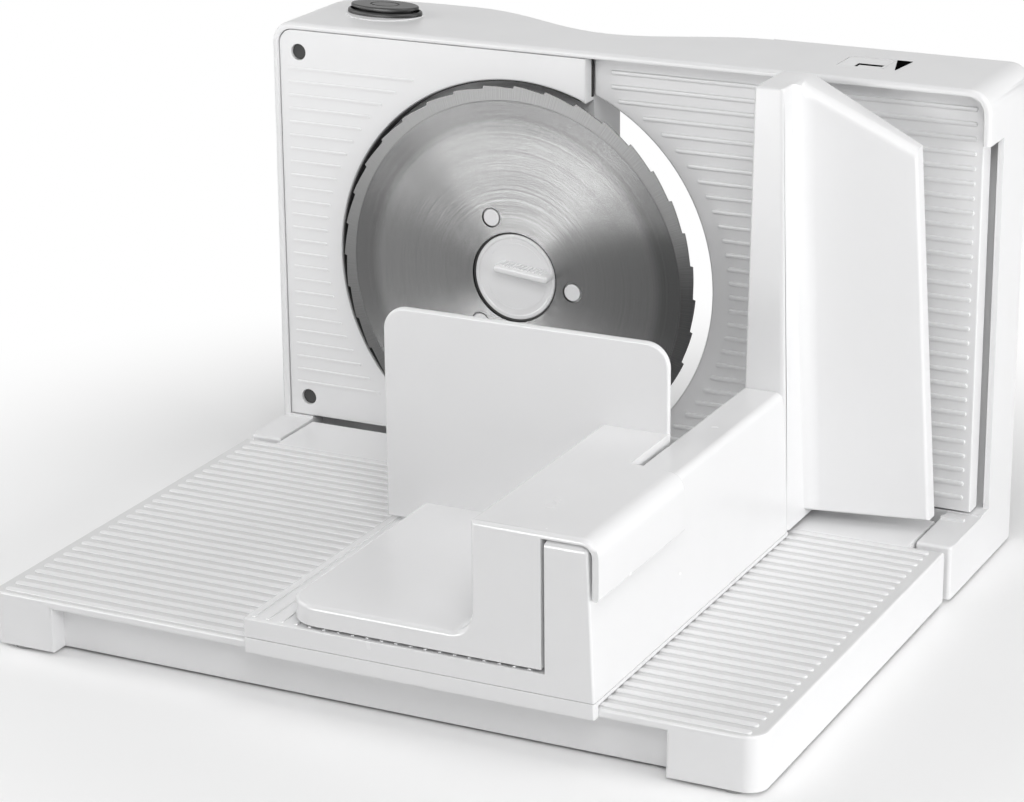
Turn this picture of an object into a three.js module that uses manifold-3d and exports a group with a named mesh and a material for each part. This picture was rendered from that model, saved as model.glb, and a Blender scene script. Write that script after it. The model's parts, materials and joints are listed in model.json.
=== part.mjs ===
// Folding electric food slicer: upright housing with a round blade, a thickness plate,
// a fold-up base, and a carriage with a hand guard and a food holder.
// Millimetres. X runs right, Y back and Z up. y = 0 is the front of the housing's frame.

import * as THREE from 'three';
import { ConvexGeometry } from 'three/addons/geometries/ConvexGeometry.js';
import { mergeVertices } from 'three/addons/utils/BufferGeometryUtils.js';
import Module from 'manifold-3d';

const wasm = await Module();
wasm.setup();

// Common sizes
const WALL = 2.5;
const GAP = 0.3;
const RUNNING_GAP = 0.3;
const ROUND_SIDES = 24;
const SMALL_SIDES = 12;
const LARGE_SIDES = 60;
const OVERCUT = 1;

// Housing: overall block, frame rim and the plan of its wavy rear
const HOUSING_WIDTH = 332;
const HOUSING_HEIGHT = 209;
const CORNER_RADIUS = 10;
const RIM = 3.2;
const GROUND_CLEARANCE = 1.5;
const SIDE_DEPTH = 34;
const MOTOR_DEPTH = 62;
const WAIST_DEPTH = 36;
const COLUMN_DEPTH = 54;
const BULGE_EDGE_X = 54;
const BULGE_FLAT = 17;
const WAIST_OFFSET = 4;
const COLUMN_REAR_WIDTH = 116;
const REAR_CORNER_RADIUS = 6;
const BULKHEAD_FRONT = 9.5;
const REAR_FASCIA_HEIGHT = 12;

// Feet of the housing and the pocket between them
const FOOT_HEIGHT = 24.5;
const FOOT_WIDTH = 15;
const FOOT_REACH = 29.5;

// Right-hand end: the wall stands back from the frame, and a closed column holds the adjuster
const RIGHT_WALL_FRONT = 18.5;
const FRAME_LEG_LENGTH = 23;
const COLUMN_WIDTH = 80;
const COLUMN_FRONT = 22.5;

// Blade and what turns it
const BLADE_EDGE_X = 121;
const BLADE_Z = 106.5;
const BLADE_RADIUS = 85;
const BLADE_THICKNESS = 1.6;
const BLADE_FRONT = -4.2;
const BLADE_TEETH = 38;
const BLADE_TOOTH_STEP = 1.2;
const LOCK_RADIUS = 19.8;
const LOCK_FRONT = -3.4;
const LOCK_THICKNESS = 2.4;
const LOCK_GRIP_LENGTH = 26;
const LOCK_GRIP_WIDTH = 4;
const LOCK_GRIP_HEIGHT = 6.5;
const LOCK_GRIP_ANGLE = THREE.MathUtils.degToRad(6);
const LOCK_GRIP_OFFSET = [5.3, 3.7];
const LOCK_STEM_RADIUS = 7.7;
const LOCK_STEM_LENGTH = 5.5;
const PIN_COUNT = 3;
const PIN_CIRCLE_RADIUS = 28;
const PIN_RADIUS = 3.8;
const PIN_FIRST_ANGLE = THREE.MathUtils.degToRad(113);
const FLANGE_RADIUS = 34;
const FLANGE_THICKNESS = 4;
const FLANGE_HUB_RADIUS = 11;
const BLADE_SEAT_RADIUS = 33;
const BLADE_SEAT_HEIGHT = 3.5;
const SHAFT_RADIUS = 6;
const BUSH_WALL = 3.5;
const BUSH_COLLAR = 3;

// Gear train: blade gear, compound intermediate gear and motor pinion
const GEAR_MODULE = 1.4;
const BLADE_GEAR_TEETH = 40;
const SMALL_PINION_TEETH = 10;
const INTERMEDIATE_MODULE = 1.25;
const INTERMEDIATE_TEETH = 36;
const MOTOR_PINION_TEETH = 9;
const GEAR_WIDTH = 6;
const GEAR_SPACING = 1.3;
const GEAR_SIDE_GAP = 0.38;
const GEAR_ADDENDUM = 0.8;
const GEAR_DEDENDUM = 1.15;
const INTERMEDIATE_WIDTH = 5;
const INTERMEDIATE_BEARING = THREE.MathUtils.degToRad(150);
const MOTOR_BEARING = THREE.MathUtils.degToRad(165);
const INTERMEDIATE_SHAFT_RADIUS = 2.5;
const GEAR_PLATE_THICKNESS = 2;
const GEAR_POST_RADIUS = 4;
const MOTOR_RADIUS = 25;
const MOTOR_LENGTH = 23.7;
const MOTOR_BOSS_RADIUS = 5.6;
const MOTOR_SHAFT_RADIUS = 2;
const VENT_COUNT = 7;
const VENT_PITCH = 8;
const VENT_HEIGHT = 3;

// Panel that surrounds the blade
const PANEL_INSET = 0.6;
const PANEL_OPENING_RADIUS = 88.5;
const PANEL_SCREW_EDGE_X = 13;
const PANEL_SCREW_TOP_EDGE = 13.4;
const PANEL_SCREW_BOTTOM_EDGE = 9.1;

// Screws share one size
const SCREW_HEAD_RADIUS = 3.1;
const SCREW_HEAD_HEIGHT = 2;
const SCREW_SHANK_RADIUS = 1.6;
const SCREW_LENGTH = 11;
const SCREW_BOSS_RADIUS = 4.2;
const SCREW_CUP_RADIUS = 3.6;
const COVER_CUP_DEPTH = 30;
const COVER_SCREW_EDGE_X = 16;
const COVER_SCREW_EDGE_Z = 15;

// Power button, its bezel, spring and switch
const BUTTON_EDGE_X = 40.2;
const BUTTON_Y = 31.7;
const BEZEL_HALF_LENGTH = 18;
const BEZEL_HALF_WIDTH = 15;
const BEZEL_HEIGHT = 2.6;
const BEZEL_RIM = 3.6;
const BEZEL_DROP = 13.5;
const BUTTON_PROUD = 1.6;
const BUTTON_CAP_HEIGHT = 5.5;
const BUTTON_STEM_RADIUS = 4;
const BUTTON_TRAVEL = 2.5;
const SPRING_RADIUS = 6.6;
const SPRING_WIRE_RADIUS = 0.5;
const SPRING_TURNS = 4;
const SWITCH_LENGTH = 20;
const SWITCH_WIDTH = 10;
const SWITCH_HEIGHT = 11;
const SWITCH_SHELF_MARGIN = 2;
const SWITCH_PLUNGER_RADIUS = 2;
const SWITCH_PLUNGER_HEIGHT = 3;

// Thickness plate and its adjuster
const PLATE_FRONT = 8;
const PLATE_FACE = 3;
const PLATE_DEPTH = 9;
const PLATE_FLANGE = 2;
const PLATE_CORNER_RADIUS = 5;
const PLATE_RIGHT_MARGIN = 5;
const PLATE_OPENING_RADIUS = 88;
const PLATE_EDGE_GAP = 0.8;
const PLATE_RIB_PITCH = 6.18;
const PLATE_RIB_WIDTH = 2;
const PLATE_RIB_HEIGHT = 0.8;
const PLATE_RIB_ARC_MARGIN = 8;
const PLATE_RIB_END_MARGIN = 3;
const PLATE_OPEN_TRAVEL = 4;
const ROD_RADIUS = 3;
const ROD_LENGTH = 33;
const ROD_EDGE_X = 21;
const ROD_EDGE_Z = 28;
const ROD_BUSH_WALL = 2.7;
const ROD_BUSH_LENGTH = 16;
const SPINDLE_EDGE_X = 42;
const SPINDLE_Z = 115;
const SPINDLE_RADIUS = 3.3;
const SPINDLE_COLLAR_RADIUS = 7;
const NUT_RADIUS = 7;
const NUT_LENGTH = 25;
const NUT_HOLE_GAP = 1;
const KNOB_RADIUS = 20;
const KNOB_HEIGHT = 14;
const KNOB_FLUTES = 20;
const KNOB_FLUTE_DEPTH = 1.2;

// Thickness scale under its window in the top
const WINDOW_EDGE_X = 63.5;
const WINDOW_Y = 28.5;
const WINDOW_LENGTH = 20;
const WINDOW_WIDTH = 17;
const WINDOW_THICKNESS = 1.4;
const WINDOW_LEDGE = 1.5;
const SCALE_WIDTH = 12;
const SCALE_LENGTH = 27;
const SCALE_THICKNESS = 2;

// Mains inlet
const INLET_Z = 28;
const INLET_RADIUS = 6;
const INLET_FLANGE_RADIUS = 8.5;
const INLET_FLANGE = 2.7;
const INLET_BORE_RADIUS = 3.2;

// Fold-up base
const BASE_LEFT_MARGIN = 0;
const BASE_RIGHT_MARGIN = 1.5;
const BASE_TOP = 24;
const BASE_PLATE = 4;
const BASE_FRONT = -232;
const BASE_REAR = -34;
const BASE_LEFT_CORNER_RADIUS = 4.5;
const BASE_RIGHT_CORNER_RADIUS = 8;
const LEFT_POST_WIDTH = 28;
const RIGHT_POST_WIDTH = 37;
const RAIL_OVERHANG = 8.5;
const BASE_RIB_PITCH = 6.78;
const BASE_RIB_WIDTH = 3;
const BASE_RIB_HEIGHT = 0.8;
const BASE_RIB_LEFT_MARGIN = 5;
const BASE_RIB_RIGHT_MARGIN = 5;
const BASE_RIB_FRONT_MARGIN = 1.6;
const BASE_RIB_REAR_MARGIN = 3;
const TONGUE_REAR = -2.8;
const TONGUE_SEAM = 1.2;
const BLADE_NOTCH_REACH = 8;
const PIVOT_Y = -14;
const PIVOT_Z = 13;
const KNUCKLE_RADIUS = 11;
const KNUCKLE_WIDTH = 22;
const HINGE_PIN_RADIUS = 3;
const RUBBER_FOOT_RADIUS = 5;
const RUBBER_FOOT_INSET = 12;
const REAR_FOOT_Y = 28;

// Carriage: sled on the base's front rail, table with side wall, and hand guard
const CARRIAGE_WIDTH = 147.5;
const CARRIAGE_EDGE_X = 65.2;
const LIP_THICKNESS = 4;
const SLED_THICKNESS = 1.6;
const SLED_REAR = -46;
const SLED_LIP_BOTTOM = 20.5;
const SLED_KEYS = [6, 20];
const SLED_KEY_DEPTH = 0.5;
const TABLE_TOP = 35;
const TABLE_THICKNESS = 3;
const TABLE_REAR = -16;
const TABLE_RIB_PITCH = 6.15;
const TABLE_RIB_WIDTH = 1.3;
const TABLE_RIB_HEIGHT = 0.5;
const TABLE_RIB_SIDE_MARGIN = 3.8;
const TABLE_RIB_END_MARGIN = 1.5;
const WALL_WIDTH = 19.8;
const WALL_TOP = 87.5;
const WALL_DRAFT = 2.6;
const WALL_REAR = -47.3;
const GUARD_TOP = 212;
const GUARD_REAR = -11;
const GUARD_TOP_FRONT = -41.5;
const GUARD_DRAFT = 7.2;
const WING_BOTTOM = 30;
const WING_INNER_FRONT = -30;
const WING_OUTER_FRONT = -18;
const WING_TOP_SETBACK = 2.2;
const WING_WIDTH = 51.2;
const WING_DRAFT = 10.5;
const WING_SHOULDER = 187;
const GUARD_SCREW_LOW = 42;
const GUARD_SCREW_HIGH = 74;

// Food holder: low platform, upright press plate and a hood astride the carriage wall
const HOLDER_GAP = 1;
const PLATFORM_MARGIN = 17.7;
const PLATFORM_HEIGHT = 9;
const PLATFORM_CORNER_RADIUS = 14;
const PRESS_MARGIN = 0.7;
const PRESS_HEIGHT = 91;
const PRESS_Y = -120;
const PRESS_THICKNESS = 3;
const PRESS_CORNER_RADIUS = 10;
const HOOD_BLOCK_WIDTH = 28.5;
const HOOD_REAR = -158;
const HOOD_WALL_GAP = 1.5;
const HOOD_TOP_GAP = 0.5;
const FLAP_WALL_GAP = 0.9;
const FLAP_BOTTOM = 67;

// Places worked out from the sizes above
const half = HOUSING_WIDTH / 2;
const bladeX = BLADE_EDGE_X - half;
const motorWallLeft = bladeX + GEAR_MODULE * (BLADE_GEAR_TEETH / 2 + GEAR_ADDENDUM) + GEAR_SIDE_GAP;
const panelRight = motorWallLeft + WALL;
const columnLeft = half - COLUMN_WIDTH;
const waistX = panelRight - WAIST_OFFSET;
const columnCurveX = half - COLUMN_REAR_WIDTH;
const bulgeLeft = BULGE_EDGE_X - half;
const bulgeRight = bulgeLeft + BULGE_FLAT;
const buttonX = BUTTON_EDGE_X - half;
const rodX = half - ROD_EDGE_X;
const spindleX = half - SPINDLE_EDGE_X;
const windowX = half - WINDOW_EDGE_X;
const bulkheadRear = BULKHEAD_FRONT + WALL;
const sillTop = FOOT_HEIGHT + 0.5;
const frontBottom = sillTop + 0.5;
const frontTop = HOUSING_HEIGHT - RIM;
const innerTop = HOUSING_HEIGHT - WALL;
const innerBottom = GROUND_CLEARANCE + WALL;
const footInner = half - FOOT_WIDTH;
const bladeRear = BLADE_FRONT + BLADE_THICKNESS;
const lockRear = LOCK_FRONT + LOCK_THICKNESS;
const flangeFront = bladeRear + GAP + BLADE_SEAT_HEIGHT;
const flangeRear = flangeFront + FLANGE_THICKNESS;
const bushBore = FLANGE_HUB_RADIUS + RUNNING_GAP;
const bushRadius = bushBore + BUSH_WALL;
const gearFront = bulkheadRear + GEAR_SPACING;
const gearRear = gearFront + GEAR_WIDTH;
const intermediateFront = gearRear + GEAR_SPACING;
const intermediateRear = intermediateFront + INTERMEDIATE_WIDTH;
const gearPlateFront = intermediateRear + GEAR_SPACING;
const gearPlateRear = gearPlateFront + GEAR_PLATE_THICKNESS;
const motorFront = gearPlateRear + GAP;
const motorRear = motorFront + MOTOR_LENGTH;
const intermediate = polar([bladeX, BLADE_Z], gearDistance(GEAR_MODULE, BLADE_GEAR_TEETH,
  SMALL_PINION_TEETH), INTERMEDIATE_BEARING);
const motor = polar(intermediate, gearDistance(INTERMEDIATE_MODULE, INTERMEDIATE_TEETH,
  MOTOR_PINION_TEETH), MOTOR_BEARING);
const gearPosts = [
  [motor[0] - MOTOR_RADIUS, motor[1] - MOTOR_RADIUS],
  [motor[0], motor[1] + MOTOR_RADIUS + SCREW_BOSS_RADIUS],
  [bladeX + FLANGE_HUB_RADIUS, intermediate[1] + MOTOR_RADIUS - GEAR_POST_RADIUS],
];
const panelScrews = [
  ['panel_screw_upper', [PANEL_SCREW_EDGE_X - half, HOUSING_HEIGHT - PANEL_SCREW_TOP_EDGE]],
  ['panel_screw_lower', [PANEL_SCREW_EDGE_X - half, frontBottom + PANEL_SCREW_BOTTOM_EDGE]],
];
const coverBossEnd = COVER_CUP_DEPTH - GAP;
const coverScrewLow = GROUND_CLEARANCE + COVER_SCREW_EDGE_Z;
const coverScrewHigh = HOUSING_HEIGHT - COVER_SCREW_EDGE_Z;
const motorCoverScrews = [
  [COVER_SCREW_EDGE_X - half, coverScrewLow],
  [COVER_SCREW_EDGE_X - half, coverScrewHigh],
  [panelRight - COVER_SCREW_EDGE_X, coverScrewLow],
  [panelRight - COVER_SCREW_EDGE_X, coverScrewHigh],
];
const mechanismCoverScrews = [
  [columnLeft + COVER_SCREW_EDGE_X, coverScrewLow],
  [half - COVER_SCREW_EDGE_X, coverScrewHigh],
];
const bezelTop = HOUSING_HEIGHT + GAP + BEZEL_HEIGHT;
const bezelFloor = HOUSING_HEIGHT - BEZEL_DROP;
const buttonTop = bezelTop + BUTTON_PROUD;
const buttonUnderside = buttonTop - BUTTON_CAP_HEIGHT;
const bezelNeck = [BEZEL_HALF_LENGTH - 2.5, BEZEL_HALF_WIDTH - 2.5];
const bezelBore = [BEZEL_HALF_LENGTH - BEZEL_RIM, BEZEL_HALF_WIDTH - BEZEL_RIM];
const springFloor = bezelFloor + WALL / 2;
const stemBottom = springFloor + 0.5;
const plungerTop = stemBottom - BUTTON_TRAVEL - GAP;
const switchTop = plungerTop - SWITCH_PLUNGER_HEIGHT;
const switchBottom = switchTop - SWITCH_HEIGHT;
const plateRight = half - PLATE_RIGHT_MARGIN;
const plateLeft = panelRight + PLATE_EDGE_GAP;
const plateBottom = sillTop + 1;
const plateTop = frontTop - 0.5;
const plateBack = PLATE_FRONT + PLATE_FACE;
const flangeBack = PLATE_FRONT + PLATE_DEPTH;
const rodBushRadius = ROD_RADIUS + RUNNING_GAP + ROD_BUSH_WALL;
const rodHeights = [['lower', plateBottom + ROD_EDGE_Z], ['upper', plateTop - ROD_EDGE_Z]];
const spindleFront = plateBack + PLATE_OPEN_TRAVEL + OVERCUT;
const columnCoverFront = COLUMN_DEPTH - WALL;
const inletX = (bulgeLeft + bulgeRight) / 2;
const knobFront = COLUMN_DEPTH + 1.5 * GAP;
const knobRear = knobFront + KNOB_HEIGHT;
const baseLeft = BASE_LEFT_MARGIN - half;
const baseRight = half - BASE_RIGHT_MARGIN;
const baseUnder = BASE_TOP - BASE_PLATE;
const ribTop = BASE_TOP + BASE_RIB_HEIGHT;
const tongueHalf = footInner - TONGUE_SEAM;
const leftPostEnd = baseLeft + LEFT_POST_WIDTH;
const rightPostEnd = baseRight - RIGHT_POST_WIDTH;
const recessFront = BASE_FRONT + RAIL_OVERHANG;
const carriageFront = BASE_FRONT - LIP_THICKNESS;
const carriageRight = half - CARRIAGE_EDGE_X;
const carriageLeft = carriageRight - CARRIAGE_WIDTH;
const wallLeft = carriageRight - WALL_WIDTH;
const wallTopRight = carriageRight - WALL_DRAFT;
const guardTopRight = carriageRight - GUARD_DRAFT;
const wingBottomRight = carriageRight + WING_WIDTH;
const wingTopRight = wingBottomRight - WING_DRAFT;
const guardScrewX = (wallLeft + wallTopRight) / 2;
const sledBottom = ribTop + RUNNING_GAP;
const sledTop = sledBottom + SLED_THICKNESS;
const carriageBottom = sledTop + GAP;
const guardFront = WALL_REAR + GAP;
const flapInner = carriageRight - WALL_DRAFT / 2 + FLAP_WALL_GAP - GAP;
const hoodRight = flapInner + WALL;
const hoodTop = WALL_TOP + HOOD_TOP_GAP + WALL;
const holderBottom = TABLE_TOP + HOLDER_GAP;
const platformTop = holderBottom + PLATFORM_HEIGHT;
const pressTop = holderBottom + PRESS_HEIGHT;
const pressFront = PRESS_Y - PRESS_THICKNESS / 2;
const pressRear = PRESS_Y + PRESS_THICKNESS / 2;
const holderRight = wallLeft - HOOD_WALL_GAP;
const hoodLeft = holderRight - HOOD_BLOCK_WIDTH;
const platformLeft = carriageLeft + PLATFORM_MARGIN;
const pressLeft = carriageLeft + PRESS_MARGIN;
const overallFront = carriageFront;
const overallRear = knobRear;

// Solids are made from closed three.js geometry and joined or cut as manifolds

function solid(geometry) {
  for (const name of Object.keys(geometry.attributes)) {
    if (name !== 'position') geometry.deleteAttribute(name);
  }
  const merged = mergeVertices(geometry, 1e-4);
  return new wasm.Manifold(new wasm.Mesh({
    numProp: 3,
    vertProperties: new Float32Array(merged.attributes.position.array),
    triVerts: new Uint32Array(merged.index.array),
  }));
}

function join(...bodies) {
  return bodies.reduce((whole, body) => whole.add(body));
}

function cut(body, ...tools) {
  return tools.reduce((rest, tool) => rest.subtract(tool), body);
}

function box([x0, x1], [y0, y1], [z0, z1]) {
  const geometry = new THREE.BoxGeometry(x1 - x0, y1 - y0, z1 - z0);
  geometry.translate((x0 + x1) / 2, (y0 + y1) / 2, (z0 + z1) / 2);
  return solid(geometry);
}

// A round bar along one axis; place holds the other two coordinates in X, Y, Z order
function bar(axis, radius, [start, end], [u, v], sides = ROUND_SIDES) {
  const geometry = new THREE.CylinderGeometry(radius, radius, end - start, sides);
  const middle = (start + end) / 2;
  if (axis === 'x') geometry.rotateZ(-Math.PI / 2).translate(middle, u, v);
  if (axis === 'y') geometry.translate(u, middle, v);
  if (axis === 'z') geometry.rotateX(Math.PI / 2).translate(u, v, middle);
  return solid(geometry);
}

// A prism along one axis; the outline is drawn in the other two coordinates in X, Y, Z order
function prism(axis, outline, [start, end], curveSegments = 10) {
  const geometry = new THREE.ExtrudeGeometry(outline, {
    depth: end - start, bevelEnabled: false, curveSegments,
  });
  geometry.translate(0, 0, start);
  if (axis === 'y') geometry.translate(0, 0, -start - end).rotateX(Math.PI / 2);
  if (axis === 'x') geometry.rotateX(Math.PI / 2).rotateZ(Math.PI / 2);
  return solid(geometry);
}

function hull(points) {
  return solid(new ConvexGeometry(points.map((point) => new THREE.Vector3(...point))));
}

function polar([x, z], distance, angle) {
  return [x + distance * Math.cos(angle), z + distance * Math.sin(angle)];
}

function gearDistance(module, teeth, otherTeeth) {
  return module * (teeth + otherTeeth) / 2;
}

// Outlines

function rectangle([u0, u1], [v0, v1], topRadius = 0, bottomRadius = 0) {
  const shape = new THREE.Shape();
  const quarter = Math.PI / 2;
  const corner = (u, v, radius, start) => {
    if (radius > 0) shape.absarc(u, v, radius, start, start + quarter);
  };
  shape.moveTo(u0 + bottomRadius, v0);
  shape.lineTo(u1 - bottomRadius, v0);
  corner(u1 - bottomRadius, v0 + bottomRadius, bottomRadius, -quarter);
  shape.lineTo(u1, v1 - topRadius);
  corner(u1 - topRadius, v1 - topRadius, topRadius, 0);
  shape.lineTo(u0 + topRadius, v1);
  corner(u0 + topRadius, v1 - topRadius, topRadius, quarter);
  shape.lineTo(u0, v0 + bottomRadius);
  corner(u0 + bottomRadius, v0 + bottomRadius, bottomRadius, 2 * quarter);
  return shape;
}

function polygon(points) {
  return new THREE.Shape(points.map(([u, v]) => new THREE.Vector2(u, v)));
}

function ellipse([x, y], [halfLength, halfWidth]) {
  return new THREE.Shape().absellipse(x, y, halfLength, halfWidth, 0, Math.PI * 2);
}

// Straight-sided teeth, thinner than half the pitch so that meshed gears run free
function gearOutline(module, teeth, [x, z], phase) {
  const pitchRadius = module * teeth / 2;
  const root = pitchRadius - GEAR_DEDENDUM * module;
  const tip = pitchRadius + GEAR_ADDENDUM * module;
  const pitch = Math.PI * 2 / teeth;
  const points = [];
  for (let tooth = 0; tooth < teeth; tooth += 1) {
    const middle = phase + tooth * pitch;
    points.push(polar([x, z], root, middle - 0.24 * pitch));
    points.push(polar([x, z], tip, middle - 0.11 * pitch));
    points.push(polar([x, z], tip, middle + 0.11 * pitch));
    points.push(polar([x, z], root, middle + 0.24 * pitch));
  }
  return polygon(points);
}

// Plan of the housing: deep over the motor, narrow at the slice exit, deeper again at the column
function housingPlan(rearInset) {
  const shape = new THREE.Shape();
  const column = COLUMN_DEPTH - rearInset;
  const waist = WAIST_DEPTH - rearInset;
  const bulge = MOTOR_DEPTH - rearInset;
  const side = SIDE_DEPTH - rearInset;
  const toWaist = (columnCurveX - waistX) * 0.35;
  const toBulge = (waistX - bulgeRight) * 0.35;
  shape.moveTo(-half, 0);
  shape.lineTo(half, 0);
  shape.lineTo(half, column - REAR_CORNER_RADIUS);
  shape.absarc(half - REAR_CORNER_RADIUS, column - REAR_CORNER_RADIUS, REAR_CORNER_RADIUS, 0, Math.PI / 2);
  shape.lineTo(columnCurveX, column);
  shape.bezierCurveTo(columnCurveX - toWaist, column, waistX + toWaist, waist, waistX, waist);
  shape.bezierCurveTo(waistX - toBulge, waist, bulgeRight + toBulge, bulge, bulgeRight, bulge);
  shape.lineTo(bulgeLeft, bulge);
  shape.bezierCurveTo((bulgeLeft - half) * 0.52, bulge, -half, (bulge + side) * 0.52, -half, side);
  return shape;
}

// Housing

function housingFace(inset, depth) {
  const face = rectangle([inset - half, half - inset],
    [GROUND_CLEARANCE + inset, HOUSING_HEIGHT - inset], CORNER_RADIUS - inset);
  return prism('y', face, depth);
}

function housingBlock(inset, rearInset) {
  return housingFace(inset, [inset, MOTOR_DEPTH + OVERCUT]).intersect(
    prism('z', housingPlan(rearInset), [0, HOUSING_HEIGHT]));
}

function frontOpening() {
  const face = rectangle([RIM - half, half - RIM], [frontBottom, frontTop], CORNER_RADIUS - RIM);
  const top = prism('y', face, [-OVERCUT, BULKHEAD_FRONT]);
  const pocket = box([-footInner, footInner], [-OVERCUT, BULKHEAD_FRONT], [0, frontBottom + OVERCUT]);
  return join(top, pocket);
}

function innerWalls() {
  const back = MOTOR_DEPTH;
  const full = [GROUND_CLEARANCE, HOUSING_HEIGHT];
  const bulkhead = box([-half, panelRight], [BULKHEAD_FRONT, bulkheadRear], full);
  const lowerWall = box([-half, half], [BULKHEAD_FRONT, bulkheadRear], [GROUND_CLEARANCE, sillTop]);
  const sill = box([motorWallLeft, columnLeft + WALL], [BULKHEAD_FRONT, back], [sillTop - WALL, sillTop]);
  const motorWall = box([motorWallLeft, panelRight], [BULKHEAD_FRONT, back], full);
  const columnWall = box([columnLeft, columnLeft + WALL], [COLUMN_FRONT, back], full);
  const columnFace = box([columnLeft, half], [COLUMN_FRONT, COLUMN_FRONT + WALL], full);
  const columnSill = box([columnLeft, half], [BULKHEAD_FRONT, COLUMN_FRONT + WALL],
    [sillTop - WALL, sillTop]);
  return join(bulkhead, lowerWall, sill, motorWall, columnWall, columnFace, columnSill)
    .intersect(housingBlock(0, 0));
}

function rearOpenings() {
  const through = [bulkheadRear, MOTOR_DEPTH + OVERCUT];
  const inside = [innerBottom, innerTop];
  const motorBay = box([WALL - half, motorWallLeft], through, inside);
  const sliceExit = box([panelRight, columnLeft], through,
    [sillTop, HOUSING_HEIGHT - REAR_FASCIA_HEIGHT]);
  const column = box([columnLeft + WALL, half - WALL], [COLUMN_FRONT + WALL, MOTOR_DEPTH], inside);
  return join(motorBay, sliceExit, column).intersect(housingFace(WALL, through));
}

function rightWallSetBack() {
  return box([plateRight, half + OVERCUT], [-OVERCUT, RIGHT_WALL_FRONT],
    [FOOT_HEIGHT, HOUSING_HEIGHT - FRAME_LEG_LENGTH]);
}

function foot(side) {
  const across = side < 0 ? [-half, -footInner] : [footInner, half];
  return box(across, [-FOOT_REACH, bulkheadRear], [GROUND_CLEARANCE, FOOT_HEIGHT]);
}

function hingeBore(radius) {
  return bar('x', radius, [-half + WALL, half - WALL], [PIVOT_Y, PIVOT_Z]);
}

function screwBoss([x, z], [start, end]) {
  return bar('y', SCREW_BOSS_RADIUS, [start, end], [x, z], SMALL_SIDES);
}

function screwHole([x, z], [start, end]) {
  return bar('y', SCREW_SHANK_RADIUS + GAP, [start, end], [x, z], SMALL_SIDES);
}

function switchShelf() {
  const side = SWITCH_LENGTH / 2 + SWITCH_SHELF_MARGIN;
  return box([buttonX - side, buttonX + side],
    [BULKHEAD_FRONT, BUTTON_Y + SWITCH_WIDTH / 2 + SWITCH_SHELF_MARGIN],
    [switchBottom - GAP - WALL, switchBottom - GAP]);
}

function windowBlock(margin, [low, high]) {
  return box([windowX - WINDOW_LENGTH / 2 - margin, windowX + WINDOW_LENGTH / 2 + margin],
    [WINDOW_Y - WINDOW_WIDTH / 2 - margin, WINDOW_Y + WINDOW_WIDTH / 2 + margin], [low, high]);
}

function housingBosses() {
  const toGearPlate = [BULKHEAD_FRONT, gearPlateFront - GAP];
  return join(
    ...panelScrews.map(([, place]) => screwBoss(place, [BULKHEAD_FRONT, bulkheadRear + SCREW_LENGTH])),
    ...motorCoverScrews.map((place) => screwBoss(place, [BULKHEAD_FRONT, coverBossEnd])),
    ...mechanismCoverScrews.map((place) => screwBoss(place, [COLUMN_FRONT, coverBossEnd])),
    ...gearPosts.map((place) => bar('y', GEAR_POST_RADIUS, toGearPlate, place, SMALL_SIDES)),
    switchShelf());
}

function housingHoles() {
  const throughBulkhead = [0, gearFront];
  const throughColumn = [0, COLUMN_FRONT + WALL + OVERCUT];
  const bossEnd = coverBossEnd + OVERCUT;
  return join(
    ...panelScrews.map(([, place]) => screwHole(place, [0, bulkheadRear + SCREW_LENGTH + OVERCUT])),
    ...motorCoverScrews.map((place) => screwHole(place, [BULKHEAD_FRONT - OVERCUT, bossEnd])),
    ...mechanismCoverScrews.map((place) => screwHole(place, [COLUMN_FRONT - OVERCUT, bossEnd])),
    ...gearPosts.map((place) => screwHole(place, [BULKHEAD_FRONT - OVERCUT, gearPlateFront])),
    bar('y', bushRadius + GAP, throughBulkhead, [bladeX, BLADE_Z]),
    bar('y', INTERMEDIATE_SHAFT_RADIUS + GAP, throughBulkhead, intermediate, SMALL_SIDES),
    ...rodHeights.map(([, z]) => bar('y', rodBushRadius + GAP, throughColumn, [rodX, z])),
    bar('y', NUT_RADIUS + NUT_HOLE_GAP, throughColumn, [spindleX, SPINDLE_Z]),
    hingeBore(HINGE_PIN_RADIUS + GAP),
    prism('z', ellipse([buttonX, BUTTON_Y], bezelNeck.map((size) => size + GAP)),
      [innerTop - OVERCUT, HOUSING_HEIGHT + OVERCUT]),
    windowBlock(GAP, [HOUSING_HEIGHT - WINDOW_THICKNESS - GAP, HOUSING_HEIGHT + OVERCUT]),
    windowBlock(-WINDOW_LEDGE, [innerTop - OVERCUT, HOUSING_HEIGHT]),
    scaleSlot());
}

function housingShell() {
  const hollow = cut(housingBlock(0, 0), housingBlock(WALL, WALL));
  const opened = cut(hollow, frontOpening(), rearOpenings(), rightWallSetBack());
  return cut(join(opened, innerWalls(), housingBosses(), foot(-1), foot(1)), housingHoles());
}

function scaleSlot() {
  const side = SCALE_WIDTH / 2 + 1;
  return box([windowX - side, windowX + side], [COLUMN_FRONT - OVERCUT, COLUMN_FRONT + WALL + OVERCUT],
    [plateTop - 2 * SCALE_THICKNESS, innerTop]);
}

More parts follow.
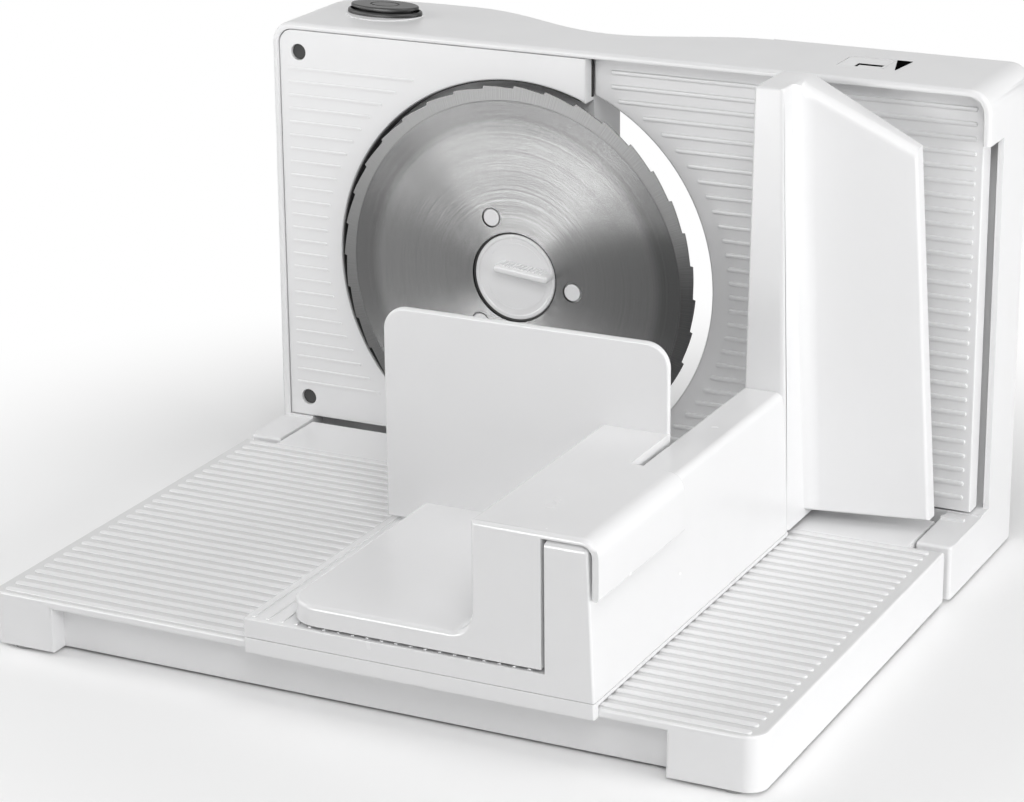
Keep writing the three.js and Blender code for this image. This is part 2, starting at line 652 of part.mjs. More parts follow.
// Panel around the blade: a face with a round opening, its rolled edge and two deep screw cups
function bladeSurroundPanel() {
  const front = PANEL_INSET;
  const rear = BULKHEAD_FRONT - GAP;
  const across = [RIM + GAP - half, panelRight];
  const up = [frontBottom + GAP, frontTop - GAP];
  const frame = rectangle([across[0], -across[0]], up, CORNER_RADIUS - RIM - GAP);
  const within = (depth) => prism('y', frame, depth).intersect(box(across, depth, up));
  const through = [front - OVERCUT, rear + OVERCUT];
  const opening = (radius) => bar('y', radius, through, [bladeX, BLADE_Z], LARGE_SIDES);
  const face = within([front, front + WALL]);
  const rolled = opening(PANEL_OPENING_RADIUS + WALL).intersect(within([front, rear]));
  const edge = box([motorWallLeft, panelRight], [front, rear], up);
  const cups = panelScrews.map(([, place]) => screwBoss(place, [front, rear]));
  const cupHoles = panelScrews.map(([, place]) => bar('y', SCREW_CUP_RADIUS,
    [front - OVERCUT, rear - WALL], place, SMALL_SIDES));
  const holes = panelScrews.map(([, place]) => screwHole(place, [front, rear + OVERCUT]));
  const belowRight = box([bladeX, panelRight + OVERCUT], through, [0, BLADE_Z]);
  return cut(join(face, rolled, edge, ...cups), opening(PANEL_OPENING_RADIUS), belowRight,
    ...cupHoles, ...holes);
}

// A screw along Y with its head at the rear, or at the front when the direction is -1
function screw([x, z], seat, direction, length = SCREW_LENGTH) {
  const headEnd = seat + direction * SCREW_HEAD_HEIGHT;
  const tip = seat - direction * length;
  const ordered = (a, b) => [Math.min(a, b), Math.max(a, b)];
  const head = bar('y', SCREW_HEAD_RADIUS, ordered(seat, headEnd), [x, z], SMALL_SIDES);
  const shank = bar('y', SCREW_SHANK_RADIUS, ordered(tip, seat + direction), [x, z], SMALL_SIDES);
  const slot = box([x - SCREW_HEAD_RADIUS * 0.7, x + SCREW_HEAD_RADIUS * 0.7],
    ordered(headEnd - direction * 0.8, headEnd + direction), [z - 0.5, z + 0.5]);
  return cut(join(head, shank), slot);
}

// A rear cover: the skin of the housing's rear between two X limits, with deep screw cups
function rearCover([left, right], screws) {
  const across = [left + GAP, right - GAP];
  const up = [innerBottom + GAP, innerTop - GAP];
  const deep = [bulkheadRear, MOTOR_DEPTH + OVERCUT];
  const block = box(across, deep, up).intersect(prism('z', housingPlan(0), up))
    .intersect(housingFace(WALL + GAP, deep));
  const skin = cut(block, prism('z', housingPlan(WALL), [0, HOUSING_HEIGHT]));
  const tubes = screws.map((place) => bar('y', SCREW_CUP_RADIUS + WALL / 2,
    [COVER_CUP_DEPTH, MOTOR_DEPTH], place, SMALL_SIDES));
  const cups = screws.map((place) => bar('y', SCREW_CUP_RADIUS,
    [COVER_CUP_DEPTH + WALL, MOTOR_DEPTH + OVERCUT], place, SMALL_SIDES));
  const holes = screws.map((place) => screwHole(place, [COVER_CUP_DEPTH - OVERCUT, MOTOR_DEPTH]));
  const shell = join(skin, join(...tubes).intersect(block));
  return cut(shell, ...cups, ...holes);
}

function motorCover() {
  const cover = rearCover([WALL - half, motorWallLeft], motorCoverScrews);
  const vents = [];
  for (let row = 0; row < VENT_COUNT; row += 1) {
    const z = motor[1] - MOTOR_RADIUS + row * VENT_PITCH;
    vents.push(box([motor[0] - MOTOR_RADIUS, motor[0] + MOTOR_RADIUS / 2],
      [bulkheadRear, MOTOR_DEPTH + OVERCUT], [z, z + VENT_HEIGHT]));
  }
  const inlet = bar('y', INLET_RADIUS + GAP, [bulkheadRear, MOTOR_DEPTH + OVERCUT], [inletX, INLET_Z]);
  return cut(cover, ...vents, inlet);
}

function mechanismCover() {
  const cover = rearCover([columnLeft + WALL, half - WALL], mechanismCoverScrews);
  return cut(cover, bar('y', SPINDLE_RADIUS + RUNNING_GAP, [COLUMN_FRONT, MOTOR_DEPTH],
    [spindleX, SPINDLE_Z]));
}

function cordInlet() {
  const place = [inletX, INLET_Z];
  const neck = bar('y', INLET_RADIUS, [MOTOR_DEPTH - 2 * WALL, MOTOR_DEPTH + OVERCUT], place);
  const flange = bar('y', INLET_FLANGE_RADIUS, [MOTOR_DEPTH + GAP, MOTOR_DEPTH + GAP + INLET_FLANGE], place);
  const bore = bar('y', INLET_BORE_RADIUS, [MOTOR_DEPTH - WALL, MOTOR_DEPTH + 2 * INLET_FLANGE], place);
  return cut(join(neck, flange), bore);
}

// Blade, lock and drive, all round the blade axis

function slicingBlade() {
  const outline = new THREE.Shape();
  const step = Math.PI * 2 / BLADE_TEETH;
  for (let tooth = 0; tooth < BLADE_TEETH; tooth += 1) {
    const start = -tooth * step;
    const [tipX, tipZ] = polar([bladeX, BLADE_Z], BLADE_RADIUS, start);
    const [midX, midZ] = polar([bladeX, BLADE_Z], BLADE_RADIUS - BLADE_TOOTH_STEP / 2, start - step / 2);
    const [endX, endZ] = polar([bladeX, BLADE_Z], BLADE_RADIUS - BLADE_TOOTH_STEP, start - step);
    if (tooth === 0) outline.moveTo(tipX, tipZ);
    else outline.lineTo(tipX, tipZ);
    outline.lineTo(midX, midZ);
    outline.lineTo(endX, endZ);
  }
  const disc = prism('y', outline, [BLADE_FRONT, bladeRear]);
  const through = [BLADE_FRONT - OVERCUT, bladeRear + OVERCUT];
  const centre = bar('y', LOCK_RADIUS + RUNNING_GAP, through, [bladeX, BLADE_Z], LARGE_SIDES);
  const holes = drivePins().map((place) => bar('y', PIN_RADIUS + GAP, through, place, SMALL_SIDES));
  return cut(disc, centre, ...holes);
}

function drivePins() {
  const places = [];
  for (let pin = 0; pin < PIN_COUNT; pin += 1) {
    const angle = PIN_FIRST_ANGLE + pin * Math.PI * 2 / PIN_COUNT;
    places.push(polar([bladeX, BLADE_Z], PIN_CIRCLE_RADIUS, angle));
  }
  return places;
}

function bladeLockKnob() {
  const place = [bladeX, BLADE_Z];
  const disc = bar('y', LOCK_RADIUS, [LOCK_FRONT, lockRear], place, LARGE_SIDES);
  const stem = bar('y', LOCK_STEM_RADIUS, [lockRear - OVERCUT, bladeRear + LOCK_STEM_LENGTH], place);
  const grip = new THREE.BoxGeometry(LOCK_GRIP_LENGTH, LOCK_GRIP_HEIGHT + OVERCUT, LOCK_GRIP_WIDTH);
  grip.rotateY(LOCK_GRIP_ANGLE);
  grip.translate(bladeX + LOCK_GRIP_OFFSET[0], LOCK_FRONT - (LOCK_GRIP_HEIGHT - OVERCUT) / 2,
    BLADE_Z + LOCK_GRIP_OFFSET[1]);
  return join(disc, stem, solid(grip));
}

function driveFlange() {
  const place = [bladeX, BLADE_Z];
  const disc = bar('y', FLANGE_RADIUS, [flangeFront, flangeRear], place, LARGE_SIDES);
  const seat = bar('y', BLADE_SEAT_RADIUS, [bladeRear + GAP, flangeFront + OVERCUT], place, LARGE_SIDES);
  const hub = bar('y', FLANGE_HUB_RADIUS, [flangeRear - OVERCUT, gearFront - GAP], place);
  const pins = drivePins().map((pin) => bar('y', PIN_RADIUS, [BLADE_FRONT, flangeFront], pin, SMALL_SIDES));
  const socket = bar('y', LOCK_STEM_RADIUS + RUNNING_GAP,
    [bladeRear - OVERCUT, bladeRear + LOCK_STEM_LENGTH + GAP], place);
  const lockSeat = bar('y', LOCK_RADIUS + RUNNING_GAP, [bladeRear - OVERCUT, lockRear + GAP], place, LARGE_SIDES);
  const bore = bar('y', SHAFT_RADIUS + GAP, [bladeRear, gearFront], place);
  return cut(join(disc, seat, hub, ...pins), lockSeat, socket, bore);
}

function bladeShaft() {
  return bar('y', SHAFT_RADIUS, [bladeRear + LOCK_STEM_LENGTH + 2 * GAP, gearPlateRear], [bladeX, BLADE_Z]);
}

function bearingBush() {
  const place = [bladeX, BLADE_Z];
  const sleeve = bar('y', bushRadius, [flangeRear + GAP, bulkheadRear + GAP], place);
  const collar = bar('y', bushRadius + BUSH_COLLAR, [flangeRear + GAP, BULKHEAD_FRONT - GAP], place);
  return cut(join(sleeve, collar), bar('y', bushBore, [0, gearFront], place));
}

function bladeGear() {
  const place = [bladeX, BLADE_Z];
  const wheel = prism('y', gearOutline(GEAR_MODULE, BLADE_GEAR_TEETH, place, INTERMEDIATE_BEARING),
    [gearFront, gearRear]);
  return cut(wheel, bar('y', SHAFT_RADIUS + GAP, [0, MOTOR_DEPTH], place));
}

function intermediateGear() {
  const towardsBlade = INTERMEDIATE_BEARING + Math.PI + Math.PI / SMALL_PINION_TEETH;
  const small = prism('y', gearOutline(GEAR_MODULE, SMALL_PINION_TEETH, intermediate, towardsBlade),
    [gearFront, intermediateFront + OVERCUT]);
  const large = prism('y', gearOutline(INTERMEDIATE_MODULE, INTERMEDIATE_TEETH, intermediate, MOTOR_BEARING),
    [intermediateFront, intermediateRear]);
  const bore = bar('y', INTERMEDIATE_SHAFT_RADIUS + RUNNING_GAP, [0, MOTOR_DEPTH], intermediate);
  return cut(join(small, large), bore);
}

function intermediateShaft() {
  return bar('y', INTERMEDIATE_SHAFT_RADIUS, [BULKHEAD_FRONT + GAP, gearPlateRear], intermediate);
}

function motorPinion() {
  const towardsIntermediate = MOTOR_BEARING + Math.PI + Math.PI / MOTOR_PINION_TEETH;
  const teeth = prism('y', gearOutline(INTERMEDIATE_MODULE, MOTOR_PINION_TEETH, motor, towardsIntermediate),
    [intermediateFront, intermediateRear]);
  return join(teeth, bar('y', MOTOR_SHAFT_RADIUS, [intermediateFront, motorRear - GAP], motor, SMALL_SIDES));
}

function gearPlate() {
  const reach = SHAFT_RADIUS + 2 * WALL;
  const corners = [...gearPosts, [bladeX, BLADE_Z]];
  const points = [];
  for (const corner of corners) {
    for (let side = 0; side < 12; side += 1) {
      const [x, z] = polar(corner, reach, side * Math.PI / 6);
      points.push([x, gearPlateFront, z], [x, gearPlateRear, z]);
    }
  }
  const through = [gearPlateFront - OVERCUT, gearPlateRear + OVERCUT];
  return cut(hull(points),
    ...gearPosts.map((place) => screwHole(place, through)),
    bar('y', SHAFT_RADIUS + RUNNING_GAP, through, [bladeX, BLADE_Z]),
    bar('y', INTERMEDIATE_SHAFT_RADIUS + GAP, through, intermediate, SMALL_SIDES),
    bar('y', MOTOR_BOSS_RADIUS + GAP, through, motor));
}

function motorCan() {
  const can = bar('y', MOTOR_RADIUS, [motorFront, motorRear], motor);
  const boss = bar('y', MOTOR_BOSS_RADIUS, [gearPlateFront + GAP, motorFront + OVERCUT], motor);
  const through = [gearPlateFront, motorRear + OVERCUT];
  const bore = bar('y', MOTOR_SHAFT_RADIUS + RUNNING_GAP, through, motor, SMALL_SIDES);
  return cut(join(can, boss), bore);
}

// Power button

function buttonBezel() {
  const place = [buttonX, BUTTON_Y];
  const brim = prism('z', ellipse(place, [BEZEL_HALF_LENGTH, BEZEL_HALF_WIDTH]),
    [HOUSING_HEIGHT + GAP, bezelTop]);
  const neck = prism('z', ellipse(place, bezelNeck), [bezelFloor, bezelTop]);
  const bore = prism('z', ellipse(place, bezelBore), [springFloor, bezelTop + OVERCUT]);
  const stemHole = bar('z', BUTTON_STEM_RADIUS + RUNNING_GAP, [bezelFloor - OVERCUT, bezelTop], place);
  return cut(join(brim, neck), bore, stemHole);
}

function powerButton() {
  const place = [buttonX, BUTTON_Y];
  const cap = prism('z', ellipse(place, bezelBore.map((size) => size - RUNNING_GAP)),
    [buttonUnderside, buttonTop]);
  return join(cap, bar('z', BUTTON_STEM_RADIUS, [stemBottom, buttonUnderside + OVERCUT], place));
}

function buttonSpring() {
  const low = springFloor + GAP + SPRING_WIRE_RADIUS;
  const high = buttonUnderside - GAP - SPRING_WIRE_RADIUS;
  class Coil extends THREE.Curve {
    getPoint(t) {
      const angle = t * SPRING_TURNS * Math.PI * 2;
      return new THREE.Vector3(buttonX + SPRING_RADIUS * Math.cos(angle),
        BUTTON_Y + SPRING_RADIUS * Math.sin(angle), low + (high - low) * t);
    }
  }
  const wire = new THREE.Shape().absarc(0, 0, SPRING_WIRE_RADIUS, 0, Math.PI * 2);
  return solid(new THREE.ExtrudeGeometry(wire, {
    steps: SPRING_TURNS * 12, extrudePath: new Coil(), bevelEnabled: false, curveSegments: 3,
  }));
}

function microswitch() {
  const body = box([buttonX - SWITCH_LENGTH / 2, buttonX + SWITCH_LENGTH / 2],
    [BUTTON_Y - SWITCH_WIDTH / 2, BUTTON_Y + SWITCH_WIDTH / 2], [switchBottom, switchTop]);
  const plunger = bar('z', SWITCH_PLUNGER_RADIUS, [switchTop - OVERCUT, plungerTop], [buttonX, BUTTON_Y],
    SMALL_SIDES);
  return join(body, plunger);
}

// Thickness plate and adjuster

function thicknessPlate() {
  const around = (inset, depth) => {
    const up = [plateBottom + inset, plateTop - inset];
    const frame = rectangle([inset - plateRight, plateRight - inset], up, PLATE_CORNER_RADIUS - inset);
    return prism('y', frame, depth).intersect(box([plateLeft + inset, plateRight], depth, up));
  };
  const through = [PLATE_FRONT - PLATE_DEPTH, flangeBack + OVERCUT];
  const arc = (radius) => bar('y', radius, through, [bladeX, BLADE_Z], LARGE_SIDES);
  const block = cut(around(0, [PLATE_FRONT, flangeBack]), arc(PLATE_OPENING_RADIUS));
  const hollow = cut(around(PLATE_FLANGE, [plateBack, flangeBack + OVERCUT]),
    arc(PLATE_OPENING_RADIUS + PLATE_FLANGE));
  const rib = (z) => {
    const reach = Math.max(PLATE_OPENING_RADIUS ** 2 - (z - BLADE_Z) ** 2, 0);
    const left = Math.max(bladeX + Math.sqrt(reach), plateLeft) + PLATE_RIB_ARC_MARGIN;
    return box([left, plateRight - PLATE_RIB_END_MARGIN], [PLATE_FRONT - PLATE_RIB_HEIGHT, plateBack],
      [z - PLATE_RIB_WIDTH / 2, z + PLATE_RIB_WIDTH / 2]);
  };
  const ribs = [];
  for (let z = plateTop - PLATE_RIB_PITCH; z > plateBottom + PLATE_RIB_PITCH / 2; z -= PLATE_RIB_PITCH) {
    ribs.push(rib(z));
  }
  return join(cut(block, hollow), ...ribs);
}

function guideRod(z) {
  return bar('y', ROD_RADIUS, [plateBack + GAP, plateBack + GAP + ROD_LENGTH], [rodX, z]);
}

function guideBush(z) {
  const place = [rodX, z];
  const collarFront = COLUMN_FRONT + WALL + GAP;
  const sleeve = bar('y', rodBushRadius, [COLUMN_FRONT, COLUMN_FRONT + ROD_BUSH_LENGTH], place);
  const collar = bar('y', rodBushRadius + WALL, [collarFront, collarFront + WALL], place);
  return cut(join(sleeve, collar), bar('y', ROD_RADIUS + RUNNING_GAP, [0, MOTOR_DEPTH], place));
}

function adjusterNut() {
  const place = [spindleX, SPINDLE_Z];
  const sleeve = bar('y', NUT_RADIUS, [plateBack + GAP, plateBack + GAP + NUT_LENGTH], place);
  return cut(sleeve, bar('y', SPINDLE_RADIUS + RUNNING_GAP, [0, MOTOR_DEPTH], place));
}

function adjusterSpindle() {
  const place = [spindleX, SPINDLE_Z];
  const rod = bar('y', SPINDLE_RADIUS, [spindleFront, knobFront + KNOB_HEIGHT / 2 - GAP], place);
  const collarRear = columnCoverFront - GAP;
  const collar = bar('y', SPINDLE_COLLAR_RADIUS, [collarRear - WALL, collarRear], place);
  return join(rod, collar);
}

function thicknessKnob() {
  const place = [spindleX, SPINDLE_Z];
  const outline = new THREE.Shape();
  for (let point = 0; point < KNOB_FLUTES * 4; point += 1) {
    const radius = KNOB_RADIUS - (point % 4 === 2 ? KNOB_FLUTE_DEPTH : 0);
    const [x, z] = polar(place, radius, point * Math.PI / (KNOB_FLUTES * 2));
    if (point === 0) outline.moveTo(x, z);
    else outline.lineTo(x, z);
  }
  const grip = prism('y', outline, [knobFront, knobRear]);
  return cut(grip, bar('y', SPINDLE_RADIUS + GAP, [0, knobFront + KNOB_HEIGHT / 2], place));
}

function scaleSlider() {
  return box([windowX - SCALE_WIDTH / 2, windowX + SCALE_WIDTH / 2],
    [flangeBack + GAP, flangeBack + GAP + SCALE_LENGTH], [plateTop - SCALE_THICKNESS, plateTop]);
}

function indicatorWindow() {
  return windowBlock(0, [HOUSING_HEIGHT - WINDOW_THICKNESS, HOUSING_HEIGHT - GAP]);
}

// Fold-up base

function basePlan() {
  const left = BASE_LEFT_CORNER_RADIUS;
  const right = BASE_RIGHT_CORNER_RADIUS;
  const shape = new THREE.Shape();
  shape.moveTo(baseLeft + left, BASE_FRONT);
  shape.lineTo(baseRight - right, BASE_FRONT);
  shape.absarc(baseRight - right, BASE_FRONT + right, right, -Math.PI / 2, 0);
  shape.lineTo(baseRight, BASE_REAR);
  shape.lineTo(baseLeft, BASE_REAR);
  shape.lineTo(baseLeft, BASE_FRONT + left);
  shape.absarc(baseLeft + left, BASE_FRONT + left, left, Math.PI, Math.PI * 1.5);
  return shape;
}

function knuckle(side) {
  const outer = side * tongueHalf;
  const inner = side * (tongueHalf - KNUCKLE_WIDTH);
  const across = [Math.min(outer, inner), Math.max(outer, inner)];
  const barrel = bar('x', KNUCKLE_RADIUS, across, [PIVOT_Y, PIVOT_Z]);
  const web = box(across, [BASE_REAR - WALL, PIVOT_Y], [PIVOT_Z - KNUCKLE_RADIUS, FOOT_HEIGHT]);
  return join(barrel, web);
}

function basePlate() {
  const block = prism('z', basePlan(), [GROUND_CLEARANCE, BASE_TOP]);
  const under = box([baseLeft + WALL, baseRight - WALL], [recessFront + WALL, BASE_REAR - WALL],
    [0, baseUnder]);
  const recess = box([leftPostEnd, rightPostEnd], [BASE_FRONT - OVERCUT, recessFront], [0, baseUnder]);
  const tongue = box([-tongueHalf, tongueHalf], [BASE_REAR - WALL, TONGUE_REAR],
    [FOOT_HEIGHT - BASE_PLATE, FOOT_HEIGHT]);
  const chord = Math.sqrt(PANEL_OPENING_RADIUS ** 2 - (BLADE_Z - FOOT_HEIGHT) ** 2);
  const bladeNotch = box([bladeX - chord, bladeX + chord],
    [TONGUE_REAR - BLADE_NOTCH_REACH, TONGUE_REAR + OVERCUT], [0, FOOT_HEIGHT + OVERCUT]);
  const ribs = [];
  const lastRib = BASE_REAR - BASE_RIB_REAR_MARGIN - BASE_RIB_WIDTH;
  for (let y = BASE_FRONT + BASE_RIB_FRONT_MARGIN; y <= lastRib; y += BASE_RIB_PITCH) {
    ribs.push(box([baseLeft + BASE_RIB_LEFT_MARGIN, baseRight - BASE_RIB_RIGHT_MARGIN],
      [y, y + BASE_RIB_WIDTH], [BASE_TOP - 1, ribTop]));
  }
  const shell = join(cut(block, under, recess), tongue, knuckle(-1), knuckle(1), ...ribs);
  return cut(shell, bladeNotch, hingeBore(HINGE_PIN_RADIUS + RUNNING_GAP));
}

function hingePin(side) {
  const outer = side * (half - WALL - GAP);
  const inner = side * (tongueHalf - KNUCKLE_WIDTH);
  return bar('x', HINGE_PIN_RADIUS, [Math.min(outer, inner), Math.max(outer, inner)], [PIVOT_Y, PIVOT_Z]);
}

function rubberFoot(x, y) {
  return bar('z', RUBBER_FOOT_RADIUS, [0, GROUND_CLEARANCE - GAP], [x, y]);
}

// Carriage

// The sled hooks over the base's front edge and runs on keys between the base's ribs
function carriageSled() {
  const across = [carriageLeft, carriageRight];
  const plate = box(across, [carriageFront, SLED_REAR], [sledBottom, sledTop]);
  const lip = box(across, [carriageFront, BASE_FRONT - GAP], [SLED_LIP_BOTTOM, sledTop]);
  const keys = SLED_KEYS.map((rib) => {
    const y = BASE_FRONT + BASE_RIB_FRONT_MARGIN + rib * BASE_RIB_PITCH;
    return box(across, [y + BASE_RIB_WIDTH + RUNNING_GAP, y + BASE_RIB_PITCH - RUNNING_GAP],
      [ribTop - SLED_KEY_DEPTH, sledTop]);
  });
  return join(plate, lip, ...keys);
}

// The wall leans in on its outer side; inset gives its hollow inside
function carriageWallOutline(inset) {
  return polygon([
    [wallLeft + inset, carriageBottom - (inset > 0 ? OVERCUT : 0)],
    [carriageRight - inset, carriageBottom - (inset > 0 ? OVERCUT : 0)],
    [wallTopRight - inset, WALL_TOP - inset],
    [wallLeft + inset, WALL_TOP - inset],
  ]);
}

function carriageTable() {
  const tableRight = wallLeft - GAP;
  const up = [carriageBottom, TABLE_TOP];
  const table = box([carriageLeft, tableRight], [carriageFront, TABLE_REAR], up);
  const tableHollow = box([carriageLeft + WALL, tableRight - WALL],
    [carriageFront + WALL, TABLE_REAR - WALL],
    [carriageBottom - OVERCUT, TABLE_TOP - TABLE_THICKNESS]);
  const seam = box([tableRight - WALL, wallLeft + WALL], [carriageFront, WALL_REAR], up);
  const wall = prism('y', carriageWallOutline(0), [carriageFront, WALL_REAR]);
  const wallHollow = prism('y', carriageWallOutline(WALL), [carriageFront + WALL, WALL_REAR - WALL]);
  const ribs = [];
  const lastRib = tableRight - TABLE_RIB_SIDE_MARGIN;
  for (let x = carriageLeft + TABLE_RIB_SIDE_MARGIN; x <= lastRib; x += TABLE_RIB_PITCH) {
    ribs.push(box([x - TABLE_RIB_WIDTH / 2, x + TABLE_RIB_WIDTH / 2],
      [carriageFront + TABLE_RIB_END_MARGIN, TABLE_REAR - TABLE_RIB_END_MARGIN],
      [TABLE_TOP - 1, TABLE_TOP + TABLE_RIB_HEIGHT]));
  }
  const bosses = guardScrews().map((place) => screwBoss(place, [WALL_REAR - SCREW_LENGTH, WALL_REAR]));
  const holeEnds = [WALL_REAR - 2 * SCREW_LENGTH, WALL_REAR + OVERCUT];
  const holes = guardScrews().map((place) => screwHole(place, holeEnds));
  const shell = join(cut(table, tableHollow), seam, cut(wall, wallHollow));
  return cut(join(shell, ...ribs, ...bosses), ...holes);
}

function guardScrews() {
  return [[guardScrewX, GUARD_SCREW_LOW], [guardScrewX, GUARD_SCREW_HIGH]];
}

// Column of the guard: upright behind the wall, then leaning back and narrowing to its top
function guardColumn(inset, rear) {
  const level = (z, front, right) => [
    [wallLeft + inset, front + inset, z], [right - inset, front + inset, z],
    [right - inset, rear, z], [wallLeft + inset, rear, z],
  ];
  return hull([
    ...level(carriageBottom + inset, guardFront, carriageRight),
    ...level(WALL_TOP, guardFront, wallTopRight),
    ...level(GUARD_TOP - inset, GUARD_TOP_FRONT, guardTopRight),
  ]);
}

// The wing beside the column: one sloping front plane from the column out to a thin right edge
function guardWing(inset, rear) {
  const inner = wallLeft + 2 * WALL;
  const across = (WING_OUTER_FRONT - WING_INNER_FRONT) / (wingBottomRight - inner);
  const upward = WING_TOP_SETBACK / (GUARD_TOP - WING_BOTTOM);
  const corners = [
    [inner + inset, WING_BOTTOM + inset],
    [wingBottomRight - inset, WING_BOTTOM + inset],
    [wingTopRight - inset, WING_SHOULDER - inset / 2],
    [guardTopRight - inset / 2, GUARD_TOP - inset],
    [inner + inset, GUARD_TOP - inset],
  ];
  const points = [];
  for (const [x, z] of corners) {
    const front = WING_INNER_FRONT + (x - inner) * across + (z - WING_BOTTOM) * upward;
    points.push([x, front + inset, z], [x, rear, z]);
  }
  return hull(points);
}

function handGuard() {
  const outer = join(guardColumn(0, GUARD_REAR), guardWing(0, GUARD_REAR));
  const inner = join(guardColumn(WALL, GUARD_REAR + OVERCUT), guardWing(WALL, GUARD_REAR + OVERCUT));
  const holes = guardScrews().map((place) => screwHole(place, [guardFront - OVERCUT, guardFront + 2 * WALL]));
  return cut(outer, inner, ...holes);
}

// Food holder

function pressPlate() {
  const face = rectangle([pressLeft, holderRight], [holderBottom, pressTop], PRESS_CORNER_RADIUS);
  return prism('y', face, [pressFront, pressRear]);
}

function platformOutline(inset) {
  const left = platformLeft + inset;
  const front = carriageFront + inset;
  const radius = PLATFORM_CORNER_RADIUS - inset;
  const shape = new THREE.Shape();
  shape.moveTo(left + radius, front);
  shape.lineTo(holderRight - inset, front);
  shape.lineTo(holderRight - inset, PRESS_Y - inset);
  shape.lineTo(left, PRESS_Y - inset);
  shape.lineTo(left, front + radius);
  shape.absarc(left + radius, front + radius, radius, Math.PI, Math.PI * 1.5);
  return shape;
}

function foodHolder() {
  const platform = prism('z', platformOutline(0), [holderBottom, platformTop]);
  const platformHollow = prism('z', platformOutline(WALL), [holderBottom - OVERCUT, platformTop - WALL]);
  const block = box([hoodLeft, holderRight], [carriageFront, PRESS_Y], [holderBottom, hoodTop]);
  const blockHollow = box([hoodLeft + WALL, holderRight - WALL],
    [carriageFront + WALL, pressFront - WALL], [holderBottom - OVERCUT, hoodTop - WALL]);
  const hood = box([hoodLeft, hoodRight], [carriageFront, HOOD_REAR], [hoodTop - WALL, hoodTop]);
  const flap = box([flapInner, hoodRight], [carriageFront, HOOD_REAR], [FLAP_BOTTOM, hoodTop]);
  const shell = cut(join(platform, block), platformHollow, blockHollow);
  return join(shell, hood, flap, pressPlate());
}

// Materials

function plastic(color, roughness = 0.35) {
  return new THREE.MeshStandardMaterial({ color, roughness, metalness: 0 });
}

function metal(color, roughness) {
  return new THREE.MeshStandardMaterial({ color, roughness, metalness: 1 });
}

const white = plastic(0xeef0f0);
const nylon = plastic(0xe4e2d8, 0.5);
const black = plastic(0x151515, 0.3);
const clear = plastic(0xdfe4e6, 0.1);
const rubber = plastic(0x2b2b2b, 0.9);
const steel = metal(0x9c9fa1, 0.3);
const zinc = metal(0xa8aaa6, 0.45);
const bronze = metal(0xa9793f, 0.4);

// Assembly: groups follow what moves together, and the origin lies under the middle of it all

const slicer = new THREE.Group();
slicer.position.y = -(overallFront + overallRear) / 2;

function assembly(pieces) {
  const group = new THREE.Group();
  for (const [name, body, material] of pieces) {
    const { vertProperties, triVerts } = body.getMesh();
    const geometry = new THREE.BufferGeometry();
    geometry.setAttribute('position', new THREE.BufferAttribute(vertProperties, 3));
    geometry.setIndex(new THREE.BufferAttribute(triVerts, 1));
    geometry.computeVertexNormals();
    const mesh = new THREE.Mesh(geometry, material);
    mesh.name = name;
    group.add(mesh);
  }
  slicer.add(group);
}

const rearFootX = half - 2 * RUBBER_FOOT_INSET;
const frontFootY = BASE_FRONT + RAIL_OVERHANG - RUBBER_FOOT_RADIUS / 2;

assembly([
  ['housing_shell', housingShell(), white],
  ['blade_surround_panel', bladeSurroundPanel(), white],
  ...panelScrews.map(([name, place]) => [name, screw(place, BULKHEAD_FRONT - GAP - WALL, -1), zinc]),
  ['motor_cover', motorCover(), white],
  ...motorCoverScrews.map((place, index) => [
    `motor_cover_screw_${index + 1}`, screw(place, COVER_CUP_DEPTH + WALL + GAP, 1), zinc]),
  ['mechanism_cover', mechanismCover(), white],
  ...mechanismCoverScrews.map((place, index) => [
    `mechanism_cover_screw_${index + 1}`, screw(place, COVER_CUP_DEPTH + WALL + GAP, 1), zinc]),
  ['cord_inlet', cordInlet(), black],
  ['bearing_bush', bearingBush(), bronze],
  ['intermediate_shaft', intermediateShaft(), steel],
  ['gear_plate', gearPlate(), zinc],
  ...gearPosts.map((place, index) => [
    `gear_plate_screw_${index + 1}`, screw(place, gearPlateRear + GAP, 1), zinc]),
  ['motor_can', motorCan(), zinc],
  ['button_bezel', buttonBezel(), black],
  ['button_spring', buttonSpring(), steel],
  ['microswitch', microswitch(), black],
  ['indicator_window', indicatorWindow(), clear],
  ...rodHeights.map(([name, z]) => [`guide_bush_${name}`, guideBush(z), nylon]),
  ['hinge_pin_left', hingePin(-1), steel],
  ['hinge_pin_right', hingePin(1), steel],
  ['rear_foot_left', rubberFoot(-rearFootX, REAR_FOOT_Y), rubber],
  ['rear_foot_right', rubberFoot(rearFootX, REAR_FOOT_Y), rubber],
]);

assembly([
  ['slicing_blade', slicingBlade(), steel],
  ['drive_flange', driveFlange(), nylon],
  ['blade_shaft', bladeShaft(), steel],
  ['blade_gear', bladeGear(), nylon],
]);

assembly([['blade_lock_knob', bladeLockKnob(), white]]);
assembly([['intermediate_gear', intermediateGear(), nylon]]);
assembly([['motor_pinion', motorPinion(), steel]]);
assembly([['power_button', powerButton(), black]]);

assembly([
  ['thickness_plate', thicknessPlate(), white],
  ...rodHeights.map(([name, z]) => [`guide_rod_${name}`, guideRod(z), steel]),
  ['adjuster_nut', adjusterNut(), nylon],
  ['scale_slider', scaleSlider(), white],
]);

assembly([
  ['thickness_knob', thicknessKnob(), white],
  ['adjuster_spindle', adjusterSpindle(), steel],
]);

assembly([
  ['base_plate', basePlate(), white],
  ['base_foot_left', rubberFoot(baseLeft + RUBBER_FOOT_INSET, frontFootY), rubber],
  ['base_foot_right', rubberFoot(baseRight - RUBBER_FOOT_INSET, frontFootY), rubber],
]);

assembly([['carriage_sled', carriageSled(), white]]);

